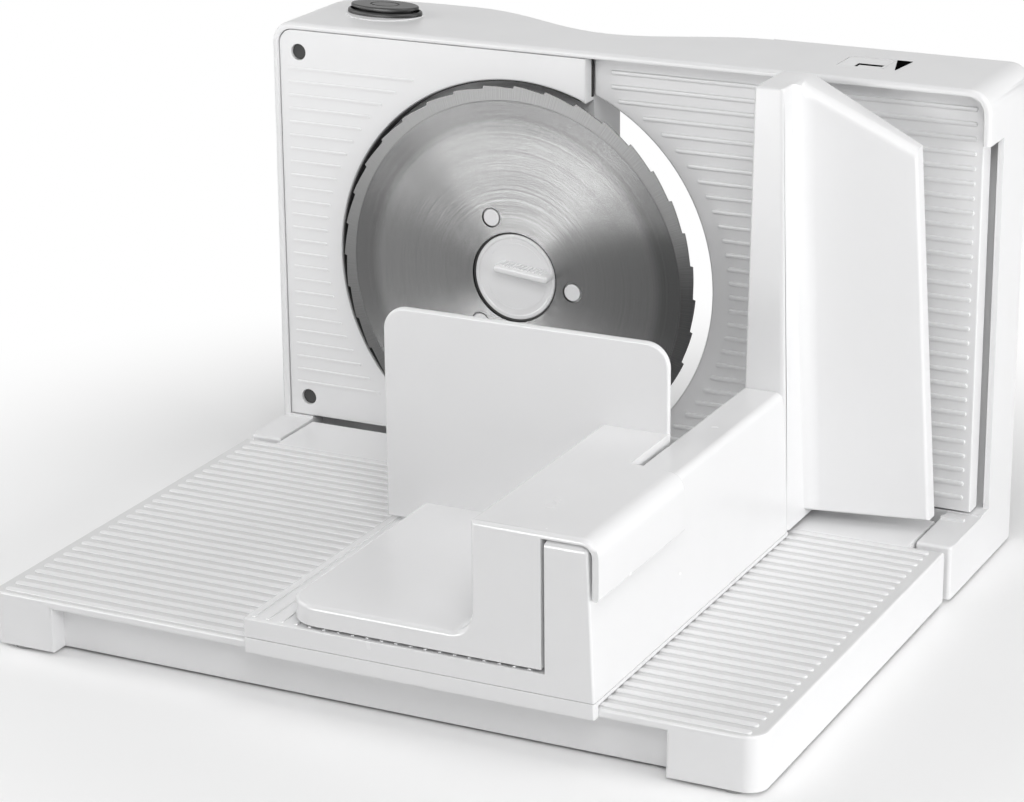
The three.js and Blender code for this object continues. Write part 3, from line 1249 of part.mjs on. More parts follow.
assembly([
  ['carriage_table', carriageTable(), white],
  ['hand_guard', handGuard(), white],
  ...guardScrews().map((place, index) => [
    `guard_screw_${index + 1}`, screw(place, guardFront + WALL + GAP, 1), zinc]),
]);

assembly([['food_holder', foodHolder(), white]]);

export default slicer;
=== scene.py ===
# %% [markdown]
# # A folding food slicer in white plastic and ground steel
#
# The slicer stands upright: a housing with a round blade, a thickness plate beside it, and a
# base folded down in front that carries a sliding carriage. The CAD model gives every place and
# motion. This lesson dresses it piece by piece: rounded edges, ribs, a ground blade and finishes.

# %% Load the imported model
import json
import math
from itertools import product

import bmesh
import bpy
from mathutils import Matrix, Vector


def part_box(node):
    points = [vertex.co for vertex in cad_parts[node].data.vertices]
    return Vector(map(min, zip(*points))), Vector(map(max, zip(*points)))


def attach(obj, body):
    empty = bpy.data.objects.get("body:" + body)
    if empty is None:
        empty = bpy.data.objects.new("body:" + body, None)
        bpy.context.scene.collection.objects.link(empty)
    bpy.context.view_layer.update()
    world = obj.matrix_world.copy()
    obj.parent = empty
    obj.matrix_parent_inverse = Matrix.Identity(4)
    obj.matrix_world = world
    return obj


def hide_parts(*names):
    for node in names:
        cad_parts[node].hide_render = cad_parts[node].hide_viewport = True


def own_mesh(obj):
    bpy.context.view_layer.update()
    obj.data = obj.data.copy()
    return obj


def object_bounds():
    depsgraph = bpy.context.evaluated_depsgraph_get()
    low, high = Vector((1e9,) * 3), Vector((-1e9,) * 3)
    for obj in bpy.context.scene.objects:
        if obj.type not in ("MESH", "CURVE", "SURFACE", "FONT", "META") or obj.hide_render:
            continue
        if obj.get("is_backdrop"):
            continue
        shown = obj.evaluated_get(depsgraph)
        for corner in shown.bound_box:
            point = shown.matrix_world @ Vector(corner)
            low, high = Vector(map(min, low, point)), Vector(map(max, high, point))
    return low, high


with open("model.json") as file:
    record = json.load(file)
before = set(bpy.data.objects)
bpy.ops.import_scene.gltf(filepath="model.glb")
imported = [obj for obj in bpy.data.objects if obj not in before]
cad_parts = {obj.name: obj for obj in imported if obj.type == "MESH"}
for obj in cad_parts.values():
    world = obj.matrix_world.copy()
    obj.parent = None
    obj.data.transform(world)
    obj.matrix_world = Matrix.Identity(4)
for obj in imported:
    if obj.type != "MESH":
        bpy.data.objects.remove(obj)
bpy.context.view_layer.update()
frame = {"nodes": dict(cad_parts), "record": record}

MM = 0.001
PANEL_INSET = 0.6
FRONT_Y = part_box("blade_surround_panel")[0].y / MM - PANEL_INSET

# %% [markdown]
# ## One way to say where a thing is
#
# All sizes below are millimetres, with y = 0 on the front plane of the housing, as a maker
# would measure the real slicer. Two small helpers turn such a place into Blender's metres and
# back, so no number has to be converted by hand.


# %% Places in millimetres
def at(x, y, z):
    """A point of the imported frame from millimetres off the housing's front."""
    return Vector((x, y + FRONT_Y, z)) * MM


def spot(point):
    """Millimetres off the housing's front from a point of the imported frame."""
    return point.x / MM, point.y / MM - FRONT_Y, point.z / MM


print("front of the housing at y =", round(FRONT_Y, 3), "mm")

# %% [markdown]
# ## The camera of the photograph
#
# The photograph looks from the right and a little from above, through a long lens that keeps
# the slicer's edges nearly parallel. The camera is set by an aim point, two angles and a
# distance, as a photographer would move a tripod.

# %% Camera
PHOTO_WIDTH = 1024
AZIMUTH = math.radians(26.485)
ELEVATION = math.radians(19.007)
ROLL = math.radians(-0.555)
AIM = at(1.03, -100.0, 86.3)
DISTANCE = 1.2844
FOCAL_PIXELS = 3166.6
SENSOR = 36.0

backward = Vector((math.sin(AZIMUTH) * math.cos(ELEVATION),
                   -math.cos(AZIMUTH) * math.cos(ELEVATION), math.sin(ELEVATION)))
level_right = (-backward).cross(Vector((0, 0, 1))).normalized()
level_up = level_right.cross(-backward)
right = math.cos(ROLL) * level_right + math.sin(ROLL) * level_up
upward = math.cos(ROLL) * level_up - math.sin(ROLL) * level_right
lens = bpy.data.cameras.new("camera")
camera = bpy.data.objects.new("camera", lens)
bpy.context.scene.collection.objects.link(camera)
turn = Matrix((right, upward, backward)).transposed().to_4x4()
camera.matrix_world = Matrix.Translation(AIM + DISTANCE * backward) @ turn
lens.sensor_fit = 'HORIZONTAL'
lens.sensor_width = SENSOR
lens.lens = FOCAL_PIXELS * SENSOR / PHOTO_WIDTH
bpy.context.scene.camera = camera
print("camera at", [round(value, 3) for value in camera.location], "lens", round(lens.lens, 1))

# %% [markdown]
# ## Shader maths that reads like maths
#
# A material is a net of nodes. Wiring each Math node by hand hides the idea, so one small class
# wraps an output socket: adding or multiplying wraps adds the Math nodes. Its one method `node`
# makes any other node, sets it up, and joins its inputs.


# %% A wire in a material
class Wire:
    def __init__(self, tree, socket=None):
        self.tree, self.socket = tree, socket

    def node(self, kind, settings, inputs, output=0):
        made = self.tree.nodes.new(kind)
        for key, value in settings.items():
            setattr(made, key, value)
        for key, value in inputs.items():
            if isinstance(value, Wire):
                self.tree.links.new(value.socket, made.inputs[key])
            else:
                made.inputs[key].default_value = value
        return Wire(self.tree, made.outputs[output])

    def math(self, operation, *values):
        return self.node("ShaderNodeMath", {"operation": operation}, dict(enumerate(values)))

    def __add__(self, other):
        return self.math("ADD", self, other)

    def __sub__(self, other):
        return self.math("SUBTRACT", self, other)

    def __rsub__(self, other):
        return self.math("SUBTRACT", other, self)

    def __mul__(self, other):
        return self.math("MULTIPLY", self, other)

    def __truediv__(self, other):
        return self.math("DIVIDE", self, other)

    def __pow__(self, other):
        return self.math("POWER", self, other)

    def __gt__(self, other):
        return self.math("GREATER_THAN", self, other)

    __radd__ = __add__
    __rmul__ = __mul__

    def blend(self, low, high):
        """A colour between two others, by this value."""
        return self.node("ShaderNodeMix", {"data_type": 'RGBA'}, {0: self, 6: low, 7: high}, 2)

    def feed(self, shader, socket):
        self.tree.links.new(self.socket, shader.inputs[socket])


def new_finish(name, **fixed):
    """A material, a wire to start its net from, and its shader with fixed values set."""
    look = bpy.data.materials.new(name)
    look.use_nodes = True
    shader = look.node_tree.nodes["Principled BSDF"]
    for socket, value in fixed.items():
        shader.inputs[socket.replace("_", " ")].default_value = value
    return look, Wire(look.node_tree), shader


def own_place(wire):
    """Where a point is on its piece, in metres."""
    return wire.node("ShaderNodeTexCoord", {}, {}, "Object")


def noise(wire, scale, detail):
    inputs = {"Vector": own_place(wire), "Scale": scale, "Detail": detail}
    return wire.node("ShaderNodeTexNoise", {}, inputs)


def emboss(wire, shader, height, strength, depth, **more):
    """Wires a height into the shader as a bump."""
    inputs = {"Height": height, "Strength": strength, "Distance": depth}
    inputs.update({socket.replace("_", " "): value for socket, value in more.items()})
    wire.node("ShaderNodeBump", {}, inputs).feed(shader, "Normal")


print("shader helpers ready")

# %% [markdown]
# ## Moulded plastics and rubber
#
# Injection-moulded ABS is never one flat white: the melt flow leaves broad, faint clouds, and
# the polished steel mould leaves a very fine grain that breaks up reflections. So each plastic
# mixes two near colours by a broad noise, varies its roughness, and has a fine bump. The base's
# ground between its ribs is painted a little darker than the ribs, as painted shade between them.


# %% Plastics
def grey(value, tint=0.0):
    return (value, value, value * (1 + tint), 1)


GROUND_BAND, VALLEY_SHADE, MOULD_GRAIN = 0.25, 0.84, 0.00009


def plastic(name, dark, light, roughness, grain=0.05, grain_scale=1600, ground=None, **fixed):
    """ground: the height of the ground between ribs, which is painted darker there as painted shade."""
    look, wire, shader = new_finish(name, **fixed)
    cloud = noise(wire, 14, 3)
    colour = cloud.blend(dark, light)
    if ground:
        # Painted shade: the ground between the ribs is painted darker than the ribs.
        height = wire.node("ShaderNodeSeparateXYZ", {}, {0: own_place(wire)}, 2)
        raised = wire.math("ABSOLUTE", height - ground) > GROUND_BAND * MM
        valley_shade = cloud.blend(grey(dark[0] * VALLEY_SHADE), grey(light[0] * VALLEY_SHADE))
        colour = raised.blend(valley_shade, colour)
    colour.feed(shader, "Base Color")
    (roughness + (noise(wire, 60, 3) - 0.5) * 0.16).feed(shader, "Roughness")
    emboss(wire, shader, noise(wire, grain_scale, 2), grain, MOULD_GRAIN)
    return look


FINISHES = {
    "white_plastic": plastic("satin_white_abs", grey(0.77, 0.006), grey(0.81, 0.006), 0.36),
    "ribbed_white": plastic("ribbed_white_abs", grey(0.79, 0.006), grey(0.83, 0.006), 0.32, ground=0.024),
    "gloss_white": plastic("gloss_white_abs", grey(0.79, 0.006), grey(0.83, 0.006), 0.24, 0.02),
    "nylon": plastic("natural_nylon", (0.70, 0.69, 0.60, 1), (0.78, 0.77, 0.69, 1), 0.5),
    "black_plastic": plastic("satin_black_abs", grey(0.010), grey(0.02), 0.38, 0.12),
    # This rubber finish also colours black rings and a strip that are painted shadow in gaps.
    "rubber": plastic("matt_rubber_and_painted_shade", grey(0.022), grey(0.04), 0.75, 0.3, 900),
    "clear_plastic": plastic("clear_window", grey(0.86), grey(0.92), 0.1, 0.01,
                             Transmission_Weight=0.9, IOR=1.49),
}
print("plastics:", sorted(FINISHES))

# %% [markdown]
# ## Turned and plated metal
#
# Shafts, screws and the motor can hide inside, but show when the slicer is opened or folded.
# Zinc plating is mottled, turned steel is a little streaky, and sintered bronze is porous. The
# same recipe with other numbers gives all three.

# %% Metals
STREAK_DEPTH = 0.0001


def metal(name, dark, light, roughness, streak):
    look, wire, shader = new_finish(name, Metallic=1.0)
    noise(wire, 220, 4).blend(dark, light).feed(shader, "Base Color")
    (roughness + (noise(wire, 500, 3) - 0.5) * 0.2).feed(shader, "Roughness")
    emboss(wire, shader, noise(wire, 2400, 3), streak, STREAK_DEPTH)
    return look


FINISHES["steel"] = metal("turned_steel", grey(0.42), grey(0.55), 0.3, 0.1)
FINISHES["zinc"] = metal("zinc_plate", grey(0.4, 0.04), grey(0.56, 0.03), 0.42, 0.15)
FINISHES["bronze"] = metal("sintered_bronze", (0.4, 0.22, 0.08, 1), (0.55, 0.34, 0.14, 1), 0.5, 0.3)
print("metals:", ["steel", "zinc", "bronze"])

# %% [markdown]
# ## The ground blade
#
# A slicing blade is ground on a lathe, so its scratches are circles round the shaft. Each
# scratch tilts the surface outwards or inwards only, which spreads a lamp's reflection into the
# fan of light that such a disc shows. The rings are therefore a bump of the distance from the
# axis. Outside the slightly dished middle the disc is painted a little darker, as painted shade
# for the slope of its outer ring. The cutting bevel is ground separately, duller, with short
# strokes across the edge.

# %% Blade steel
BLADE_X, BLADE_Z = BLADE_AXIS = -45.0, 106.5
BLADE_RADIUS, BEVEL_RADIUS, DISH_RADIUS, DISH_BLEND = 85.0, 78.7, 68.0, 3.0
RINGS_PER_MM, BANDS_PER_MM, STROKES_PER_RADIAN = 60.0, 1.0, 240.0
SCRATCH_DEPTH = 0.0000133


def scratches(wire, direction, scale, detail):
    """Lines across one direction: a noise of that direction alone."""
    return wire.node("ShaderNodeTexNoise", {"noise_dimensions": '1D'},
                     {"W": direction, "Scale": scale, "Detail": detail})


def blade_finish():
    look, wire, shader = new_finish("ground_blade_steel", Metallic=1.0)
    place = own_place(wire)
    across = wire.node("ShaderNodeSeparateXYZ", {}, {0: place}, 0) - BLADE_X * MM
    above = wire.node("ShaderNodeSeparateXYZ", {}, {0: place}, 2) - BLADE_Z * MM
    radius = (across * across + above * above) ** 0.5 / MM
    angle = wire.math("ARCTAN2", above, across)
    bevel = radius > BEVEL_RADIUS
    # Painted shade: the disc outside the dish radius is painted darker, for the slope of its outer ring.
    shaded_border = wire.node("ShaderNodeMapRange", {"interpolation_type": 'SMOOTHSTEP'},
                       {"Value": radius, "From Min": DISH_RADIUS - DISH_BLEND,
                        "From Max": DISH_RADIUS + DISH_BLEND})
    rings = scratches(wire, radius, RINGS_PER_MM, 0.0)
    bands = scratches(wire, radius, BANDS_PER_MM, 3.0)
    strokes = scratches(wire, angle, STROKES_PER_RADIAN, 3.0)
    shade = (0.157 + bands * 0.04 + rings * 0.012) * (1 - shaded_border * 0.33)
    (shade * (1 - bevel) + (0.07 + strokes * 0.09) * bevel).feed(shader, "Base Color")
    (0.185 + bands * 0.01 + bevel * 0.26).feed(shader, "Roughness")
    height = rings * (1 - bevel) + strokes * bevel * 2
    emboss(wire, shader, height, 0.6, SCRATCH_DEPTH, Filter_Width=0.015)
    return look


FINISHES["blade_steel"] = blade_finish()
print("blade rings out to", BLADE_RADIUS, "mm, bevel from", BEVEL_RADIUS)

# %% [markdown]
# ## Floor, lamps and white surroundings
#
# The slicer stands on a pale sweep under large soft lamps. The background must be white without
# over-lighting the object, so the world is plain grey light for the object, and white only where
# the camera or a mirror looks straight at it. The floor keeps the shadow near the slicer and
# fades to the same white further out.

# %% Stage
bpy.context.scene.view_settings.view_transform = 'Standard'
AMBIENT = 0.2
FLOOR_SIDE, FADE_START, FADE_END = 8.0, 0.18, 0.42


def sees_backdrop(wire):
    """1 where the eye, a mirror or glass looks straight at the backdrop."""
    path = [wire.node("ShaderNodeLightPath", {}, {}, f"Is {kind} Ray")
            for kind in ("Camera", "Glossy", "Transmission")]
    return wire.math("MAXIMUM", path[0], wire.math("MAXIMUM", path[1], path[2]))


world = bpy.data.worlds.new("studio")
bpy.context.scene.world = world
world.use_nodes = True
sky = Wire(world.node_tree)
(AMBIENT + sees_backdrop(sky) * (1 - AMBIENT)).feed(world.node_tree.nodes["Background"], "Strength")
world.node_tree.nodes["Background"].inputs["Color"].default_value = grey(1)

bpy.ops.object.select_all(action='DESELECT')
bpy.ops.mesh.primitive_plane_add(size=FLOOR_SIDE, location=(0, 0, 0))
floor = bpy.context.object
floor.name = "floor"
sweep, wire, shader = new_finish("pale_sweep", Roughness=0.9, Base_Color=grey(0.93))
shader.inputs["Specular IOR Level"].default_value = 0.0
away = wire.node("ShaderNodeVectorMath", {"operation": 'LENGTH'}, {0: own_place(wire)}, "Value")
fade = wire.node("ShaderNodeMapRange", {"interpolation_type": 'SMOOTHSTEP'},
                 {"Value": away, "From Min": FADE_START, "From Max": FADE_END})
glow = wire.node("ShaderNodeEmission", {}, {"Color": grey(1), "Strength": 1.0})
output = sweep.node_tree.nodes["Material Output"]
surface = Wire(sweep.node_tree, shader.outputs[0])
mixed = wire.node("ShaderNodeMixShader", {}, {0: fade * sees_backdrop(wire), 1: surface, 2: glow})
mixed.feed(output, "Surface")
floor.data.materials.append(sweep)
floor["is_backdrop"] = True


def softbox(name, place, aim, size, watts):
    lamp = bpy.data.lights.new(name, 'AREA')
    lamp.shape = 'RECTANGLE'
    lamp.size, lamp.size_y = size
    lamp.energy = watts
    holder = bpy.data.objects.new(name, lamp)
    holder.location = place
    holder.rotation_euler = (Vector(aim) - Vector(place)).to_track_quat('-Z', 'Y').to_euler()
    bpy.context.scene.collection.objects.link(holder)
    return holder


softbox("top_lamp", (0.4, 0.0, 1.5), (0, 0, 0.1), (0.9, 0.9), 5.5)
softbox("right_lamp", (1.35, -0.25, 0.32), (0, 0, 0.1), (0.9, 0.6), 10)
softbox("left_lamp", (-0.75, -0.2, 0.35), (-0.1, 0.08, 0.12), (0.5, 0.5), 2.7)
softbox("key_lamp", (0.55, -1.0, 1.0), (0, 0, 0.1), (0.6, 0.6), 6.4)
fan = softbox("fan_lamp", (-0.5, -1.08, 0.17), (-0.045, 0.08, 0.15), (0.8, 0.3), 11.5)
fan.visible_diffuse = False
print("stage ready, ambient", AMBIENT)

# %% [markdown]
# ## Tools of the bench
#
# Every piece is made as by hand: add a primitive at its size, pick edges or faces by where they
# are, bevel or push them, and cut or join with booleans. These helpers only pick and call the
# operators, so that the cells below can speak in millimetres.


# %% Bench tools
def only(piece=None):
    if bpy.context.mode != 'OBJECT':
        bpy.ops.object.mode_set(mode='OBJECT')
    bpy.ops.object.select_all(action='DESELECT')
    if piece:
        piece.select_set(True)
        bpy.context.view_layer.objects.active = piece


def named(name):
    piece = bpy.context.object
    piece.name = piece.data.name = name
    bpy.ops.object.transform_apply(location=True, rotation=True, scale=True)
    return piece


def block(name, x, y, z):
    """A cube stretched between two values on each axis."""
    only()
    low, high = at(x[0], y[0], z[0]), at(x[1], y[1], z[1])
    bpy.ops.mesh.primitive_cube_add(size=1, location=(low + high) / 2)
    bpy.context.object.scale = high - low
    return named(name)


TURNS = {'x': (0, math.pi / 2, 0), 'y': (math.pi / 2, 0, 0), 'z': (0, 0, 0)}


def rod(name, axis, radius, ends, centre, sides=96):
    """A cylinder along an axis; centre is its place on the two other axes."""
    only()
    middle = list(centre)
    middle.insert('xyz'.index(axis), sum(ends) / 2)
    bpy.ops.mesh.primitive_cylinder_add(vertices=sides, radius=radius * MM, depth=(ends[1] - ends[0]) * MM,
                                        location=at(*middle), rotation=TURNS[axis])
    return named(name)


def choose(piece, kind, test, sharp=0):
    """Selects the piece's corners, edges or faces that pass the test, in edit mode."""
    only(piece)
    bpy.ops.object.mode_set(mode='EDIT')
    bpy.ops.mesh.select_mode(type=kind)
    bpy.ops.mesh.select_all(action='DESELECT')
    mesh = bmesh.from_edit_mesh(piece.data)
    found = 0
    for part in {'VERT': mesh.verts, 'EDGE': mesh.edges, 'FACE': mesh.faces}[kind]:
        if kind == 'EDGE':
            fits = test(*(spot(end.co) for end in part.verts))
            fits = fits and (not sharp or part.calc_face_angle(0) > math.radians(sharp))
        elif kind == 'FACE':
            fits = test(spot(part.calc_center_median()), part.normal)
        else:
            fits = test(spot(part.co))
        if fits:
            part.select_set(True)
            found += 1
    bmesh.update_edit_mesh(piece.data)
    return found


def everything(*parts):
    return True


def both(test):
    """A test of an edge: both of its ends pass a test of x, y and z."""
    return lambda *points: all(test(*point) for point in points)


def lies(x=None, y=None, z=None, slack=0.06):
    """A test: every given point lies at these values."""
    wanted = [(axis, value) for axis, value in enumerate((x, y, z)) if value is not None]
    return both(lambda *point: all(abs(point[axis] - value) < slack for axis, value in wanted))


def any_of(*tests):
    return lambda *points: any(test(*points) for test in tests)


def corners(**values):
    """A test: each axis lies at one of its values."""
    return any_of(*(lies(**dict(zip(values, row))) for row in product(*values.values())))


def round_edges(piece, radius, test, segments=4, sharp=0):
    found = choose(piece, 'EDGE', test, sharp)
    if found:
        bpy.ops.mesh.bevel(offset=radius * MM, segments=segments, profile=0.5, affect='EDGES')
    only(piece)
    return found


def carve(piece, *tools, how='DIFFERENCE'):
    """Cuts the tools out of the piece, or joins them to it, with Boolean modifiers."""
    for tool in tools:
        only(piece)
        change = piece.modifiers.new(how, 'BOOLEAN')
        change.operation, change.solver, change.object = how, 'EXACT', tool
        bpy.ops.object.modifier_apply(modifier=change.name)
        bpy.data.objects.remove(tool)
    return piece


def weld(piece, *tools):
    return carve(piece, *tools, how='UNION')


def flatten(piece, angle=0.2):
    """Merges doubles, and faces that lie in one plane."""
    choose(piece, 'FACE', everything)
    bpy.ops.mesh.remove_doubles(threshold=0.002 * MM)
    bpy.ops.mesh.dissolve_limited(angle_limit=math.radians(angle))
    only(piece)


def slide(x=0, y=0, z=0):
    """Moves what is chosen by millimetres."""
    bpy.ops.transform.translate(value=(x * MM, y * MM, z * MM))


def draw_in(scale, centre):
    """Scales what is chosen towards an axis along y."""
    bpy.ops.transform.resize(value=(scale, 1, scale), center_override=centre)


def turned(piece, angle, axis, centre):
    """Turns the whole piece about an axis through a point."""
    choose(piece, 'VERT', everything)
    bpy.ops.transform.rotate(value=angle, orient_axis=axis, center_override=centre)
    only(piece)


def copied(piece, move):
    """A copy with its own mesh, moved by millimetres."""
    only(piece)
    bpy.ops.object.duplicate()
    bpy.ops.transform.translate(value=Vector(move) * MM)
    return named(piece.name)


def gathered(name, pieces):
    """Several pieces as one."""
    only(pieces[0])
    for piece in pieces:
        piece.select_set(True)
    bpy.ops.object.join()
    return named(name)


def row_of(piece, count, step):
    """The piece and its copies, each a step further, as one."""
    copies = [copied(piece, [side * number for side in step]) for number in range(1, count)]
    return gathered(piece.name, [piece] + copies)


def finish(piece, look, body, *nodes, angle=32):
    """Smooths the piece, gives it its look, and sets it on its body."""
    only(piece)
    bpy.ops.object.shade_smooth_by_angle(angle=math.radians(angle))
    even = piece.modifiers.new("even", 'WEIGHTED_NORMAL')
    even.keep_sharp = True
    bpy.ops.object.modifier_apply(modifier=even.name)
    piece.data.materials.clear()
    piece.data.materials.append(FINISHES[look])
    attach(piece, body)
    if nodes:
        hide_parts(*nodes)
    print(piece.name, "-", len(piece.data.polygons), "faces, on", body)


def copy_of(node, name):
    """A copy of a CAD node, merged and with its flat faces joined."""
    piece = bpy.data.objects.new(name, frame["nodes"][node].data.copy())
    bpy.context.scene.collection.objects.link(piece)
    flatten(piece)
    return piece


print("bench ready")

# %% [markdown]
# ## The housing shell
#
# The upright housing is one moulding: a frame round the front, a wavy back over the motor, and
# two feet. Its shape is right in the CAD model, so a copy is merged and its edges are rounded as
# the mould would leave them: a broad bevel round the front of the frame, that catches the light,
# and small radii at the feet and the top.

# %% Housing
HALF, HOUSING_TOP, CORNER = 166.0, 209.0, 10.0
FOOT_TOP, FOOT_FRONT = 24.5, -29.5
REAR_EDGE_LOW, REAR_EDGE_FRONT, REAR_EDGE_HALF = 198.9, 25.0, 150.0
BUTTON_X, BUTTON_Y = -125.8, 31.7
SCALE_X, SCALE_Y = 102.5, 28.5


def on_outline(x, z, inset, slack=0.12):
    """True on the frame's outline, moved inwards by an inset."""
    side, top = HALF - inset, HOUSING_TOP - inset
    if abs(x) > HALF - CORNER and z > HOUSING_TOP - CORNER:
        reach = math.hypot(abs(x) - HALF + CORNER, z - HOUSING_TOP + CORNER)
        return abs(reach - CORNER + inset) < slack
    return abs(abs(x) - side) < slack or abs(z - top) < slack


def frame_edge(inset):
    return both(lambda x, y, z: abs(y) < 0.05 and on_outline(x, z, inset))


def within(reach, centre_x, centre_y):
    return both(lambda x, y, z: math.hypot(x - centre_x, y - centre_y) < reach)


def top_rear(*ends):
    """The rear edge of the top, without the openings for the button and the scale."""
    rear = both(lambda x, y, z: z > REAR_EDGE_LOW and y > REAR_EDGE_FRONT and abs(x) < REAR_EDGE_HALF)
    openings = any_of(within(20, BUTTON_X, BUTTON_Y), within(16, SCALE_X, SCALE_Y))
    return rear(*ends) and not openings(*ends)


housing = copy_of("housing_shell", "housing")
counts = [
    round_edges(housing, 1.9, frame_edge(0), 5, sharp=30),
    round_edges(housing, 0.5, frame_edge(3.2), 2, sharp=30),
    round_edges(housing, 1.6, corners(x=(-HALF, HALF), y=[FOOT_FRONT]), 4),
    round_edges(housing, 1.2, both(lambda x, y, z: abs(z - FOOT_TOP) < 0.06 and y < -0.1), 4, 30),
    round_edges(housing, 1.2, top_rear, 3, sharp=50),
]
finish(housing, "white_plastic", "housing", "housing_shell")
print("housing edges rounded:", counts)

# %% [markdown]
# ## The panel round the blade
#
# A flat panel fills the left of the frame, with a round opening rolled inwards behind the blade.
# Faint raised lines run across it so that food doesn't cling. The lines stop short of the opening.
# One line is modelled as a low bar with round ends, and copied up the panel with each end set.
# Black rubber plugs close the two screw cups. A black ring round the opening behind the blade and a
# black strip up the edge beside the thickness plate are painted shadow in those gaps.

# %% Panel
PANEL_LEFT, PANEL_RIGHT, PANEL_BOTTOM, PANEL_TOP = -162.5, -13.0, 25.8, 205.5
PANEL_WALL, PANEL_REAR = 2.5, 9.2
OPENING, OPENING_AXIS = 86.9, (BLADE_X - 1.4, BLADE_Z - 0.6)
RIM_SHADE_FRONT, RIM_SHADE_WALL = PANEL_INSET + 0.75, 0.6
SCREW_X, SCREW_HEIGHTS, CUP, CUP_WALL, SCREW_HOLE = -153.0, (195.6, 34.6), 3.6, 5.2, 1.8
PLUG, PLUG_Y = 3.5, (2.0, 3.4)
RIM_FOOT, STRIP_Y, STRIP_FOOT = 180, (6.8, 8.3), 187.8
LINE_PITCH, LINE_FIRST, LINE_COUNT, LINE_STOP, SCREW_CLEAR = 6.1, 35.5, 27, 96.0, 5.5
THROUGH, EVERY_HEIGHT = (-9, 20), (0, 300)


def round_bar(name, x, y, z, end, crest):
    """A low rib along x with half-round ends and a rounded crest towards the front."""
    rib = block(name, x, y, z)
    round_edges(rib, end, corners(x=x, z=z), 4)
    round_edges(rib, crest, lies(y=y[0]), 2)
    return rib


def panel_line(z, height=0.35, width=1.3):
    reach = LINE_STOP ** 2 - (z - BLADE_Z) ** 2
    end = BLADE_X - math.sqrt(reach) if reach > 0 else PANEL_RIGHT - 6
    return round_bar("panel_line", (PANEL_LEFT + 4, end), (PANEL_INSET - height, PANEL_INSET + 0.6),
                     (z - width / 2, z + width / 2), 0.6, 0.25)


def front_ring(radius, x, z, slack=0.1):
    """A test: edges of a round opening on the panel's front."""
    return both(lambda px, py, pz: abs(py - PANEL_INSET) < 0.05
                and abs(math.hypot(px - x, pz - z) - radius) < slack)


panel = block("blade_panel", (PANEL_LEFT, PANEL_RIGHT), (PANEL_INSET, PANEL_INSET + PANEL_WALL),
              (PANEL_BOTTOM, PANEL_TOP))
round_edges(panel, 6.5, lies(x=PANEL_LEFT, z=PANEL_TOP), 8)
round_edges(panel, 0.5, lies(y=PANEL_INSET), 2)
rolled = rod("rolled", 'y', OPENING + PANEL_WALL, (PANEL_INSET + 1, PANEL_REAR), OPENING_AXIS, 192)
carve(rolled, block("over", (-200, 100), THROUGH, (PANEL_TOP - 0.3, 300)),
      block("right", (PANEL_RIGHT - 0.1, 100), THROUGH, EVERY_HEIGHT))
strip = block("strip", (PANEL_RIGHT - PANEL_WALL, PANEL_RIGHT), (PANEL_INSET + 0.6, PANEL_REAR),
              (RIM_FOOT, PANEL_TOP - 0.5))
weld(panel, rolled, strip)
for height in SCREW_HEIGHTS:
    weld(panel, rod("cup", 'y', CUP_WALL, (PANEL_INSET + 1, PANEL_REAR), (SCREW_X, height), 32))
carve(panel, rod("opening", 'y', OPENING, THROUGH, OPENING_AXIS, 192),
      block("below", (BLADE_X, 0), THROUGH, (0, BLADE_Z)))
for height in SCREW_HEIGHTS:
    carve(panel, rod("cup", 'y', CUP, (-3, PANEL_REAR - PANEL_WALL), (SCREW_X, height), 32),
          rod("hole", 'y', SCREW_HOLE, (0, 20), (SCREW_X, height), 24))
flatten(panel)
round_edges(panel, 0.7, front_ring(OPENING, *OPENING_AXIS, slack=0.2), 3)
round_edges(panel, 0.4, any_of(*(front_ring(CUP, SCREW_X, height) for height in SCREW_HEIGHTS)), 2)
heights = [LINE_FIRST + LINE_PITCH * row for row in range(LINE_COUNT)]
clear = [z for z in heights if all(abs(z - height) > SCREW_CLEAR for height in SCREW_HEIGHTS)]
weld(panel, gathered("panel_lines", [panel_line(z) for z in clear]))
finish(panel, "white_plastic", "housing", "blade_surround_panel")

# Painted shadow: a black ring in the gap round the opening behind the blade, in the rubber finish.
rim_shade = rod("opening_rim_shade", 'y', OPENING - 0.05, (RIM_SHADE_FRONT, PANEL_REAR - 1), OPENING_AXIS, 192)
carve(rim_shade, rod("inner", 'y', OPENING - RIM_SHADE_WALL, THROUGH, OPENING_AXIS, 192),
      block("right", (PANEL_RIGHT - PANEL_WALL, 100), THROUGH, EVERY_HEIGHT),
      block("below", (BLADE_X, 100), THROUGH, (0, BLADE_Z)))
round_edges(rim_shade, 0.15, lies(y=RIM_SHADE_FRONT), 2, sharp=30)
finish(rim_shade, "rubber", "housing")
# Painted shadow: a black strip in the gap beside the thickness plate, in the rubber finish.
strip_right = PANEL_RIGHT + 0.55
gap_shade_strip = block("gap_shade_strip", (PANEL_RIGHT - 0.1, strip_right), STRIP_Y, (STRIP_FOOT, PANEL_TOP - 0.6))
round_edges(gap_shade_strip, 0.1, lies(x=strip_right), 2)
finish(gap_shade_strip, "rubber", "housing")

for label, height in zip(("upper", "lower"), SCREW_HEIGHTS):
    plug = rod("screw_plug_" + label, 'y', PLUG, PLUG_Y, (SCREW_X, height), 40)
    round_edges(plug, 0.3, lies(y=PLUG_Y[0]), 2, sharp=30)
    finish(plug, "rubber", "housing")

# %% [markdown]
# ## The thickness plate
#
# Food rests against this plate while it is cut; moving it back makes thicker slices. It is a
# tray with a curved edge beside the blade and low round-ended ribs across its face. The tray is
# a block with the blade's circle cut away; each rib follows that circle at its left end.

